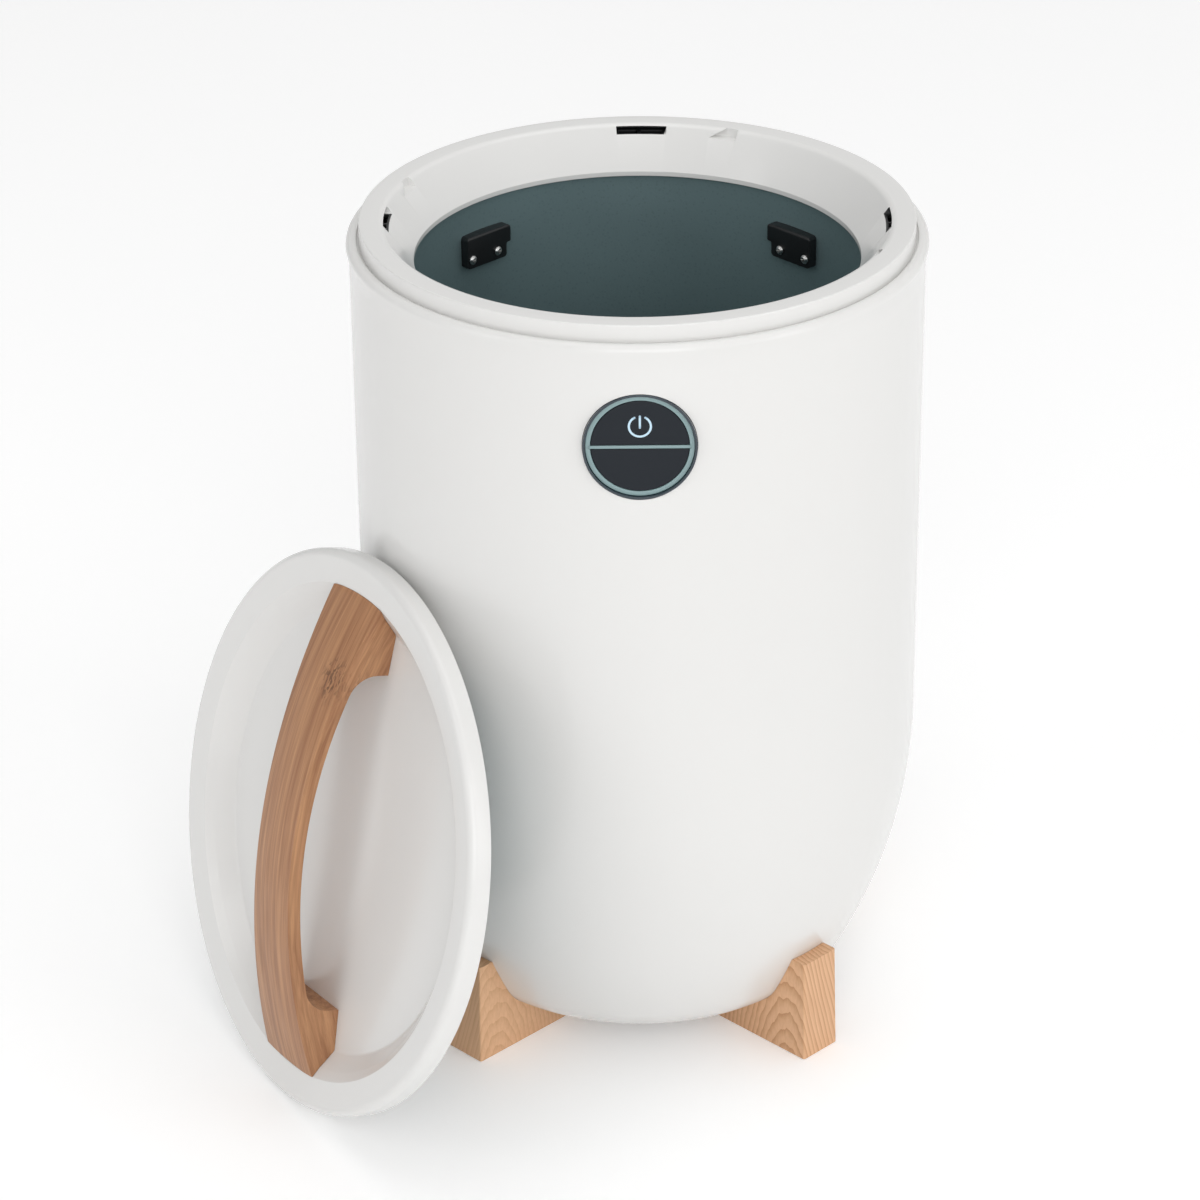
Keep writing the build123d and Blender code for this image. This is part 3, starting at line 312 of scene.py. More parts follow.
def lathe(name, points, segments):
    """Solid turned about the Z axis from a closed outline."""
    piece = start_mesh(name)
    draw_line(points + points[:1])
    bpy.ops.mesh.select_all(action="SELECT")
    bpy.ops.mesh.spin(steps=segments, angle=2 * pi, center=(0, 0, 0), axis=(0, 0, 1))
    close_mesh()
    smooth(piece)
    return piece


def start_face(name, points):
    """New face from a closed outline in the XZ plane, selected in edit mode."""
    piece = start_mesh(name)
    draw_line(points + points[:1])
    bpy.ops.mesh.select_all(action="SELECT")
    bpy.ops.mesh.remove_doubles(threshold=WELD)
    bpy.ops.mesh.select_all(action="SELECT")
    bpy.ops.mesh.edge_face_add()
    return piece


def slab(name, points, front, back):
    """Solid drawn in the XZ plane and extruded along Y."""
    piece = start_face(name, points)
    bpy.ops.transform.translate(value=(0, front, 0))
    bpy.ops.mesh.extrude_region_move(TRANSFORM_OT_translate={"value": (0, back - front, 0)})
    close_mesh()
    return piece


def ring_block(name, inner, outer, low, high, start, end, steps):
    """Part of a ring between two bearings, which run from +Y towards +X."""
    piece = start_face(name, [(inner, low), (outer, low), (outer, high), (inner, high)])
    bpy.ops.transform.rotate(value=start - pi / 2, orient_axis="Z", center_override=(0, 0, 0))
    bpy.ops.mesh.spin(steps=steps, angle=end - start, center=(0, 0, 0), axis=(0, 0, 1))
    close_mesh()
    return piece


def disc(name, radius, low, high, segments):
    """Plain round solid about the Z axis."""
    return lathe(name, [(0, low), (radius, low), (radius, high), (0, high)], segments)


def add_box(location, size, angle=0):
    """Box at its place and size, turned about the Z axis."""
    bpy.ops.object.select_all(action="DESELECT")
    bpy.ops.mesh.primitive_cube_add(size=1, location=location)
    box = bpy.context.object
    box.scale = size
    box.rotation_euler = (0, 0, angle)
    bpy.ops.object.transform_apply(location=True, rotation=True, scale=True)
    return box


def place(piece, matrix):
    """Moves a finished mesh to its place and leaves the object at the origin."""
    select_only(piece)
    piece.matrix_world = matrix
    bpy.ops.object.transform_apply(location=True, rotation=True, scale=True)
    return piece


def cut_off(piece, point, normal):
    """Cuts a piece at a plane, drops the side that the normal points to and closes the cut."""
    select_only(piece)
    bpy.ops.object.mode_set(mode="EDIT")
    bpy.ops.mesh.select_all(action="SELECT")
    bpy.ops.mesh.bisect(
        plane_co=point, plane_no=normal, use_fill=True, clear_inner=False, clear_outer=True
    )
    close_mesh()


def apply_modifier(piece, kind, **values):
    """Adds one modifier, sets it and applies it."""
    select_only(piece)
    modifier = piece.modifiers.new(kind.title(), kind)
    for name, value in values.items():
        setattr(modifier, name, value)
    bpy.ops.object.modifier_apply(modifier=modifier.name)
    return piece


def bevel(piece, width, segments, angle):
    """Rounds the edges that are sharper than the angle."""
    return apply_modifier(
        piece, "BEVEL", width=width, segments=segments, limit_method="ANGLE", angle_limit=radians(angle)
    )


def carve(piece, cutter, operation="DIFFERENCE"):
    """Cuts, joins or intersects a piece with another, which is used up."""
    apply_modifier(piece, "BOOLEAN", operation=operation, solver="EXACT", object=cutter)
    bpy.data.objects.remove(cutter)


def join(first, others):
    """Joins loose pieces into one object."""
    bpy.ops.object.select_all(action="DESELECT")
    for piece in [first, *others]:
        piece.select_set(True)
    bpy.context.view_layer.objects.active = first
    bpy.ops.object.join()


def finish_piece(piece, body, slot_name, material, *nodes):
    """Gives a piece its material and body, and hides the nodes it stands for."""
    piece.data.materials.clear()
    piece.data.materials.append(material)
    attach(piece, body)
    if nodes:
        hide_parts(*nodes)


def dress_node(name, material):
    """Gives a CAD node its material."""
    materials = frame["nodes"][name].data.materials
    materials.clear()
    materials.append(material)


# Materials

class Board:
    """Short way to place and link nodes in a tree."""

    def __init__(self, tree):
        self.tree = tree

    def add(self, kind, inputs=None, **values):
        """Adds a node, sets its values, and links or sets its inputs."""
        node = self.tree.nodes.new(kind)
        for name, value in values.items():
            setattr(node, name, value)
        for name, value in (inputs or {}).items():
            if isinstance(value, bpy.types.NodeSocket):
                self.tree.links.new(value, node.inputs[name])
            else:
                node.inputs[name].default_value = value
        return node

    def math(self, operation, first, second):
        """Math node with two inputs."""
        return self.add("ShaderNodeMath", {0: first, 1: second}, operation=operation).outputs[0]

    def vector(self, operation, first, second):
        """Vector Math node with two inputs."""
        return self.add("ShaderNodeVectorMath", {0: first, 1: second}, operation=operation).outputs[0]

    def noise(self, vector, scale, detail, **inputs):
        """Brightness of a noise texture."""
        inputs.update(Vector=vector, Scale=scale, Detail=detail)
        return self.add("ShaderNodeTexNoise", inputs).outputs[0]

    def ramp(self, value, *stops):
        """Grey ramp whose stops are (place, brightness)."""
        node = self.add("ShaderNodeValToRGB", {"Fac": value})
        for element, (position, shade) in zip(node.color_ramp.elements, stops):
            element.position = position
            element.color = (shade, shade, shade, 1)
        return node.outputs["Color"]

    def mix(self, share, first, second, blend_type="MIX"):
        """Colour mix."""
        node = self.add("ShaderNodeMix", data_type="RGBA", blend_type=blend_type)
        for index, value in ((0, share), (6, first), (7, second)):
            if isinstance(value, bpy.types.NodeSocket):
                self.tree.links.new(value, node.inputs[index])
            else:
                node.inputs[index].default_value = (*value, 1) if hasattr(value, "__len__") else value
        return node.outputs[2]

    def position(self, matrix=None):
        """Place on the piece, or its place in the frame that the matrix leads to."""
        place_on = self.add("ShaderNodeTexCoord").outputs["Object"]
        if matrix is None:
            return place_on
        turned = {"Vector": place_on, "Location": matrix.to_translation(), "Rotation": matrix.to_euler()}
        return self.add("ShaderNodeMapping", turned, vector_type="POINT").outputs[0]

    def skin(self, vector, scale, rough):
        """Outputs of the moulded surface with its own values."""
        values = {"Vector": vector, "Scale": scale, "Rough": rough}
        return self.add("ShaderNodeGroup", values, node_tree=moulded_surface()).outputs

    def dress(self, shader, height, strength, depth, **links):
        """Links a bump and further outputs to the shader."""
        bump = self.add("ShaderNodeBump", {"Height": height, "Strength": strength, "Distance": depth})
        for socket, value in dict(links, Normal=bump.outputs[0]).items():
            self.tree.links.new(value, shader.inputs[socket.replace("_", " ")])


def make_group(name, inputs, outputs):
    """Node group with its sockets: returns its board, or None if it was made before, and the group."""
    if name in bpy.data.node_groups:
        return None, bpy.data.node_groups[name]
    group = bpy.data.node_groups.new(name, "ShaderNodeTree")
    group.interface.new_socket(name="Vector", in_out="INPUT", socket_type="NodeSocketVector")
    for socket, default in inputs.items():
        made = group.interface.new_socket(name=socket, in_out="INPUT", socket_type="NodeSocketFloat")
        made.default_value = default
    for socket in outputs:
        group.interface.new_socket(name=socket, in_out="OUTPUT", socket_type="NodeSocketFloat")
    return Board(group), group


def moulded_surface():
    """Fine skin of moulded or sprayed surfaces: a height for bump and a shift for roughness."""
    board, group = make_group("Moulded Surface", {"Scale": 900.0, "Rough": 0.3}, ("Height", "Roughness"))
    if board is None:
        return group
    broad_scale, rough_swing = 14.0, 0.10
    entry = board.add("NodeGroupInput").outputs
    fine = board.noise(entry["Vector"], entry["Scale"], 3.0)
    broad = board.noise(entry["Vector"], broad_scale, 2.0)
    shift = board.math("MULTIPLY", board.math("SUBTRACT", broad, 0.5), rough_swing)
    rough = board.math("ADD", entry["Rough"], shift)
    board.add("NodeGroupOutput", {"Height": fine, "Roughness": rough})
    return group


def wood_figure():
    """Growth rings and fibres about a Z grain: ring mask, fibre mask and height."""
    board, group = make_group(
        "Wood Figure", {"Rings": 120.0, "Fibres": 700.0, "Warp": 3.0}, ("Ring", "Fibre", "Height")
    )
    if board is None:
        return group
    ring_stretch, fibre_stretch, ring_edge = (1.0, 1.0, 0.18), (1.0, 1.0, 0.035), 2.2
    entry = board.add("NodeGroupInput").outputs
    slow = board.vector("MULTIPLY", entry["Vector"], ring_stretch)
    stretched = board.vector("MULTIPLY", entry["Vector"], fibre_stretch)
    waves = {"Vector": slow, "Scale": entry["Rings"], "Distortion": entry["Warp"]}
    waves.update({"Detail": 2.0, "Detail Scale": 1.4})
    bands = board.add(
        "ShaderNodeTexWave", waves, wave_type="RINGS", rings_direction="Z", wave_profile="SAW"
    )
    fibres = board.noise(stretched, entry["Fibres"], 4.0)
    ring = board.math("POWER", bands.outputs["Fac"], ring_edge)
    fibre = board.add("ShaderNodeMapRange", {"Value": fibres, 1: 0.35, 2: 0.7}).outputs[0]
    height = board.math("SUBTRACT", 1.0, board.math("ADD", board.math("MULTIPLY", ring, 0.5), fibre))
    board.add("NodeGroupOutput", {"Ring": ring, "Fibre": fibre, "Height": height})
    return group


def new_material(name, **values):
    """Material with its shader's plain values set: returns it, its board and its shader."""
    material = bpy.data.materials.new(name)
    material.use_nodes = True
    shader = material.node_tree.nodes["Principled BSDF"]
    for socket, value in values.items():
        shader.inputs[socket.replace("_", " ")].default_value = value
    return material, Board(material.node_tree), shader


def moulded(name, shade, rough, grain=900.0, bump=0.02, **values):
    """Moulded or sprayed material with a fine skin, made on first use."""
    if name in bpy.data.materials:
        return bpy.data.materials[name]
    material, board, shader = new_material(name, Base_Color=(*shade, 1), **values)
    skin = board.skin(board.position(), grain, rough)
    board.dress(shader, skin["Height"], bump, 0.4 * MM, Roughness=skin["Roughness"])
    return material


def liner_finish(shade):
    """Speckled non-stick coating with a soft metal sheen."""
    material, board, shader = new_material("Liner Coating", Metallic=0.35, Specular_IOR_Level=0.5)
    position = board.position()
    speckle = board.add("ShaderNodeTexVoronoi", {"Vector": position, "Scale": 420.0})
    flecks = board.ramp(speckle.outputs["Distance"], (0.0, 0.84), (0.35, 1.0))
    cloud = board.ramp(board.noise(position, 9.0, 2.0), (0.3, 0.86), (0.7, 1.0))
    tone = board.mix(1.0, shade, board.mix(1.0, flecks, cloud, "MULTIPLY"), "MULTIPLY")
    skin = board.skin(position, 700.0, 0.42)
    board.dress(shader, skin["Height"], 0.15, 0.5 * MM, Base_Color=tone, Roughness=skin["Roughness"])
    return material


def foot_wood(name, matrix, light, dark, contrast):
    """Clear-coated wood with nested arches on the sides and upright grain on the outer face."""
    material, board, shader = new_material(name, Coat_Weight=0.12, Coat_Roughness=0.35)
    values = {"Vector": board.position(matrix), "Rings": 112.0, "Fibres": 900.0, "Warp": 3.2}
    figure = board.add("ShaderNodeGroup", values, node_tree=wood_figure()).outputs
    fibre_share, rough_low, rough_swing = 0.30, 0.42, 0.12
    rings = board.math("MULTIPLY", figure["Ring"], contrast)
    grain = board.math("ADD", rings, board.math("MULTIPLY", figure["Fibre"], fibre_share))
    rough = board.math("ADD", board.math("MULTIPLY", figure["Ring"], rough_swing), rough_low)
    tone = board.mix(grain, light, dark)
    board.dress(shader, figure["Height"], 0.15, 0.4 * MM, Base_Color=tone, Roughness=rough)
    return material


def bamboo_finish(matrix, light, dark, knot, bow):
    """Bamboo with strips that follow the handle's bow, fine fibres and one node mark."""
    material, board, shader = new_material("Bamboo", Coat_Weight=0.10, Coat_Roughness=0.35)
    position = board.position(matrix.inverted())
    along, across, level = board.add("ShaderNodeSeparateXYZ", {0: position}).outputs
    fall = board.math("MULTIPLY", board.math("MULTIPLY", along, along), bow)
    unbent = board.math("ADD", level, fall)
    straight = board.add("ShaderNodeCombineXYZ", {0: along, 1: across, 2: unbent}).outputs[0]
    stretched = board.vector("MULTIPLY", straight, (0.03, 1.0, 1.0))
    streaks = board.ramp(board.noise(stretched, 240.0, 5.0, Roughness=0.6), (0.36, 0.0), (0.66, 1.0))
    fibres = board.ramp(board.noise(stretched, 1100.0, 3.0), (0.42, 0.0), (0.68, 1.0))
    fibre_share, fibre_tone = 0.35, [value * 0.72 for value in dark]
    tone = board.mix(streaks, light, dark)
    tone = board.mix(board.math("MULTIPLY", fibres, fibre_share), tone, fibre_tone)
    knot_reach, knot_share, knot_tone = (62.0, 68.0, 24.0), 0.85, [value * 0.42 for value in dark]
    spread = board.vector("MULTIPLY", board.vector("SUBTRACT", position, knot), knot_reach)
    reach = board.add("ShaderNodeVectorMath", {0: spread}, operation="LENGTH").outputs["Value"]
    near = board.ramp(reach, (0.35, 1.0), (1.0, 0.0))
    dashes = board.vector("MULTIPLY", position, (0.35, 1.0, 1.0))
    dashes = board.ramp(board.noise(dashes, 620.0, 1.5, Distortion=0.6), (0.50, 0.0), (0.60, 1.0))
    mark = board.math("MULTIPLY", board.math("MULTIPLY", dashes, near), knot_share)
    tone = board.mix(mark, tone, knot_tone)
    rough_low, rough_swing = 0.42, 0.12
    rough = board.math("ADD", board.math("MULTIPLY", fibres, rough_swing), rough_low)
    height = board.math("SUBTRACT", 1.0, board.math("ADD", fibres, mark))
    board.dress(shader, height, 0.12, 0.4 * MM, Base_Color=tone, Roughness=rough)
    return material


def white_plastic():
    """White glossy plastic of the barrel, collar and lid."""
    shade = bpy.context.scene.towel_finishes.white
    return moulded("White Plastic", shade, rough=0.24, bump=0.012, Coat_Weight=0.25, Coat_Roughness=0.12)


def black_plastic():
    """Black moulded plastic."""
    shade = bpy.context.scene.towel_finishes.black
    return moulded("Black Plastic", shade, rough=0.38, grain=700.0, bump=0.08)


def steel():
    """Plated steel of the screws."""
    shade = bpy.context.scene.towel_finishes.steel
    return moulded("Plated Steel", shade, rough=0.28, bump=0.03, Metallic=1.0)


# Barrel

def barrel_outline(sizes):
    """Closed outline of the barrel's wall from the base recess round the lip and back inside."""
    belly_x = sizes.wall_radius - sizes.belly
    heel_z = sizes.base + sizes.heel
    drop = sqrt((sizes.belly - sizes.heel) ** 2 - (sizes.flat_radius - belly_x) ** 2)
    belly_z = heel_z + drop
    swing = asin(drop / (sizes.belly - sizes.heel))
    side_z = sizes.lip_top - sizes.lip_round
    flare_z = side_z - sizes.flare
    flare_step = sizes.lip_radius - sizes.wall_radius
    shoulder = sizes.lip_radius - sizes.lip_round
    inner = sizes.wall_radius - sizes.wall
    ledge_top = sizes.lip_top - sizes.ledge_drop
    ledge_low = ledge_top - 3 * MM
    edge, chamfer = 0.5 * MM, 0.15 * MM
    outside = (
        arc_points((sizes.flat_radius, heel_z), sizes.heel, -pi / 2, -swing, 14)
        + arc_points((belly_x, belly_z), sizes.belly, -swing, 0, 28)[1:]
        + [(sizes.wall_radius, z) for z in (*WALL_RINGS, flare_z)]
        + [(sizes.wall_radius + flare_step * share ** 2, flare_z + sizes.flare * share)
           for share in (k / 6 for k in range(1, 6))]
        + arc_points((shoulder, side_z), sizes.lip_round, 0, pi / 2, 8)
    )
    mouth = [
        (sizes.mouth_radius + edge, sizes.lip_top),
        (sizes.mouth_radius + chamfer, sizes.lip_top - chamfer),
        (sizes.mouth_radius, sizes.lip_top - edge),
        (sizes.mouth_radius, ledge_top + edge),
        (sizes.mouth_radius - chamfer, ledge_top + chamfer),
        (sizes.mouth_radius - edge, ledge_top),
        (sizes.ledge_radius, ledge_top),
        (sizes.ledge_radius, ledge_low),
        (inner, ledge_low),
    ]
    inside = (
        arc_points((belly_x, belly_z), sizes.belly - sizes.wall, 0, -swing, 14)
        + arc_points((sizes.flat_radius, heel_z), sizes.heel - sizes.wall, -swing, -pi / 2, 8)[1:]
    )
    floor, recess, lead = sizes.base + sizes.wall, sizes.base + 2.6 * MM, 0.4 * MM
    rim_radius, rim_top = sizes.cover_radius + sizes.wall, floor + 2.4 * MM
    rim = [
        (rim_radius, floor),
        (rim_radius, rim_top),
        (sizes.opening_radius, rim_top),
        (sizes.opening_radius, recess),
        (sizes.cover_radius, recess),
        (sizes.cover_radius, sizes.base + lead),
        (sizes.cover_radius + lead, sizes.base),
    ]
    return outside + mouth + inside + rim


class TOWEL_OT_barrel(bpy.types.Operator):
    """Adds the white barrel with its panel hole"""
    bl_idname = "towel_warmer.barrel"
    bl_label = "Barrel"

    def execute(self, context):
        sizes = context.scene.towel_barrel
        panel = context.scene.towel_panel
        barrel = lathe("Barrel_wall", barrel_outline(sizes), sizes.segments)
        gap, behind, before = 0.25 * MM, -20 * MM, 10 * MM
        cutter = disc("Panel_hole", panel.bezel + gap, behind, before, 128)
        place(cutter, panel_matrix(panel))
        carve(barrel, cutter)
        smooth(barrel)
        finish_piece(barrel, "barrel", "white_shell", white_plastic(), "outer_shell")
        return {"FINISHED"}


# Collar

def collar_outline(sizes, barrel):
    """Closed outline of the collar's hollow moulding."""
    wall = 2.5 * MM
    cone_top = sizes.throat_radius + (sizes.top - sizes.throat) / tan(sizes.slope)
    under = sizes.top - sizes.floor_drop - TRACK_FLOOR
    foot = sizes.throat_radius + wall / sin(sizes.slope)
    under_radius = foot + (under - sizes.throat) / tan(sizes.slope)
    lip_radius = sizes.throat_radius + sizes.lip_wall
    seat_radius = lip_radius + wall
    ledge_top = barrel.lip_top - barrel.ledge_drop
    liner_top = liner_high.z
    return soften([
        (sizes.outer_radius, ledge_top, 0),
        (sizes.outer_radius, sizes.top, 0.9 * MM),
        (cone_top, sizes.top, sizes.rounding),
        (sizes.throat_radius, sizes.throat, 0.6 * MM),
        (sizes.throat_radius, sizes.throat - sizes.lip, 0.4 * MM),
        (lip_radius, sizes.throat - sizes.lip, 0.4 * MM),
        (lip_radius, liner_top, 0),
        (seat_radius, liner_top, 0),
        (seat_radius, sizes.throat + (seat_radius - foot) * tan(sizes.slope), 0),
        (under_radius, under, 0),
        (sizes.outer_radius - wall, under, 0),
        (sizes.outer_radius - wall, ledge_top, 0),
    ], 8)


class TOWEL_OT_collar(bpy.types.Operator):
    """Adds the collar with its bayonet slots and pockets"""
    bl_idname = "towel_warmer.collar"
    bl_label = "Collar"

    def execute(self, context):
        sizes = context.scene.towel_collar
        barrel = context.scene.towel_barrel
        collar = lathe("Collar", collar_outline(sizes, barrel), barrel.segments)
        floor = sizes.top - sizes.floor_drop
        inner = sizes.throat_radius + 2.5 * MM  # the cuts start in the open mouth
        edge = radians(0.6)
        ceiling = sizes.top - sizes.roof
        rib_start, rib_end = radians(0.4), radians(1.2)
        for base in TRACK_BEARINGS:
            start, end = base + sizes.slot_start, base + sizes.slot_end
            slot = (inner, sizes.track_radius, floor, ceiling, start, end + edge)
            carve(collar, ring_block("Slot", *slot, 24))
            for turns in ((start + edge, base + rib_start), (base + rib_end, end - edge)):
                window = (sizes.window_inner, sizes.window_outer, floor - TRACK_FLOOR, floor)
                carve(collar, ring_block("Window", *window, *turns, 12))
            carve(collar, self.pocket(sizes, inner, floor, base))
        bevel(collar, 0.35 * MM, 2, 50)
        smooth(collar)
        finish_piece(collar, "barrel", "white_shell", white_plastic(), "collar_ring")
        # the hidden bayonet tracks get black plastic as painted shade
        self.paint_track_shade(collar, sizes)
        return {"FINISHED"}

    def paint_track_shade(self, collar, sizes):
        """Paints shade into the closed part of each bayonet track: its hidden faces get the black plastic as
        painted shade where the hollow is unlit.
        """
        # second slot of black plastic, used only as painted shade in the tracks
        collar.data.materials.append(black_plastic())
        slack = 0.002
        ceiling = sizes.top - sizes.roof + 0.02 * MM
        bottom = sizes.top - sizes.floor_drop - TRACK_FLOOR - 0.1 * MM
        for face in collar.data.polygons:
            bearing, height = atan2(face.center.x, face.center.y), face.center.z
            offsets = [(bearing - base + pi) % (2 * pi) - pi for base in TRACK_BEARINGS]
            closed = any(sizes.slot_start - slack < offset < sizes.slot_end + slack for offset in offsets)
            cone_radius = sizes.throat_radius + (height - sizes.throat) / tan(sizes.slope)
            reach = Vector(face.center[:2]).length
            behind = cone_radius + 0.6 * MM < reach < sizes.track_radius + 0.1 * MM
            if closed and behind and bottom < height < ceiling:
                face.material_index = 1

    def pocket(self, sizes, inner, floor, base):
        """Space of one open pocket, with its slanted far end and softened edges."""
        block = ring_block(
            "Pocket", inner, sizes.pocket_radius, floor, sizes.top + 4 * MM,
            base + sizes.slot_end, base + sizes.pocket_end + radians(3), 32,
        )
        middle = base + (sizes.floor_end + sizes.pocket_end) / 2
        run = sizes.pocket_radius * (sizes.pocket_end - sizes.floor_end)
        outward = Vector((sin(middle), cos(middle), 0))
        ahead = Vector((cos(middle), -sin(middle), 0))
        slope = (ahead * run + Vector((0, 0, sizes.floor_drop))).normalized()
        centre = outward * sizes.pocket_radius + Vector((0, 0, floor + sizes.floor_drop / 2))
        cut_off(block, centre, slope.cross(outward))
        return bevel(block, 0.6 * MM, 3, 30)


# Liner

class TOWEL_OT_liner(bpy.types.Operator):
    """Adds the coated liner"""
    bl_idname = "towel_warmer.liner"
    bl_label = "Liner"

    def execute(self, context):
        wall, corner = 1.2 * MM, 9 * MM
        top, low = liner_high.z, liner_low.z
        outline = soften([
            (0, low, 0),
            (LINER_BORE + wall, low, corner + wall),
            (LINER_BORE + wall, top - wall, 0),
            (liner_high.x, top - wall, 0),
            (liner_high.x, top, 0),
            (LINER_BORE, top, 0.5 * MM),
            (LINER_BORE, low + wall, corner),
            (0, low + wall, 0),
        ], 10)
        liner = lathe("Liner", outline, context.scene.towel_barrel.segments)
        coating = liner_finish(context.scene.towel_finishes.coating)
        finish_piece(liner, "barrel", "liner_coating", coating, "inner_liner")
        return {"FINISHED"}


# Brackets

def pan_screw(name, shank, head, height, reach):
    """Screw along Z with a crossed recess: head above 0, shank below."""
    screw = lathe(name, soften([
        (0, -reach, 0),
        (shank, -reach, 0.2 * MM),
        (shank, 0, 0),
        (head, 0, 0.15 * MM),
        (head, height * 0.45, 0.5 * MM),
        (head * 0.55, height, 0.5 * MM),
        (0, height, 0),
    ], 6), 48)
    well_low, well_high = height * 0.3, height * 1.1
    carve(screw, lathe("Well", [
        (0, well_low), (head * 0.2, well_low), (head * 0.34, well_high), (0, well_high)
    ], 24))
    for angle in (0, pi / 2):
        carve(screw, add_box((0, 0, height * 0.75), (head * 1.05, head * 0.24, height * 0.7), angle))
    smooth(screw)
    return screw


class TOWEL_OT_brackets(bpy.types.Operator):
    """Adds the two black brackets in the liner and their screws"""
    bl_idname = "towel_warmer.brackets"
    bl_label = "Liner brackets"

    def execute(self, context):
        sizes = context.scene.towel_brackets
        screws = []
        for name, side, bearing in (("left", -1, sizes.left), ("right", 1, sizes.right)):
            matrix = Matrix.Rotation(-bearing, 4, "Z")
            bracket = place(self.plate(sizes, name, side), matrix)
            finish_piece(bracket, "barrel", "black_plastic", black_plastic(), f"liner_bracket_{name}")
            for x in (side * sizes.screw_outer, -side * sizes.screw_inner):
                screw = pan_screw(
                    "Bracket_screws", shank=1.25 * MM, head=sizes.head, height=1.7 * MM, reach=10.8 * MM
                )
                seat = Matrix.Translation((x, sizes.plane, sizes.screw_height)) @ FACE_FRONT
                screws.append(place(screw, matrix @ seat))
        join(screws[0], screws[1:])
        finish_piece(screws[0], "barrel", "steel_screw", steel(), "bracket_screws")
        return {"FINISHED"}

    def plate(self, sizes, name, side):
        """Plate of one bracket with its bevelled upper edge, fitted to the liner's wall."""
        corners = (
            (sizes.outer, sizes.low, sizes.corner),
            (sizes.outer, sizes.high, sizes.corner),
            (-sizes.inner_top, sizes.high, sizes.corner),
            (-sizes.inner_top, sizes.step, sizes.corner / 2),
            (-sizes.inner_low, sizes.step, sizes.corner / 2),
            (-sizes.inner_low, sizes.low, sizes.corner),
        )
        outline = soften([(side * x, z, rounding) for x, z, rounding in corners])
        plate = slab(f"Bracket_{name}", outline, sizes.plane, LINER_BORE + 2 * MM)
        drop, slope = 0.8 * MM, 0.8
        cut_off(plate, (0, sizes.plane, sizes.high - drop), (0, -slope, 1))
        bevel(plate, 0.45 * MM, 3, 30)
        rod = disc("Bore", LINER_BORE - 0.1 * MM, sizes.low - 1 * MM, sizes.high + 1 * MM, 256)
        carve(plate, rod, "INTERSECT")
        smooth(plate)
        return plate


# Panel

def panel_matrix(sizes):
    """Panel frame: Z out of the barrel's front, Y up."""
    return Matrix.Translation((0, -sizes.front, sizes.height)) @ FACE_FRONT


def half_key(name, sizes, side):
    """Half-moon key with softened edges, in the panel's frame."""
    radius, face, depth = sizes.ring - PANEL_GAP, -sizes.recess, 4.3 * MM
    back = face - depth
    key = lathe(name, soften([(0, back, 0), (radius, back, 0), (radius, face, 0.5 * MM), (0, face, 0)]), 160)
    edge = BAR_SHIFT + side * (sizes.bar / 2 + PANEL_GAP)
    cut_off(key, (0, edge, 0), (0, -side, 0))
    bevel(key, 0.35 * MM, 3, 60)
    smooth(key)
    return key


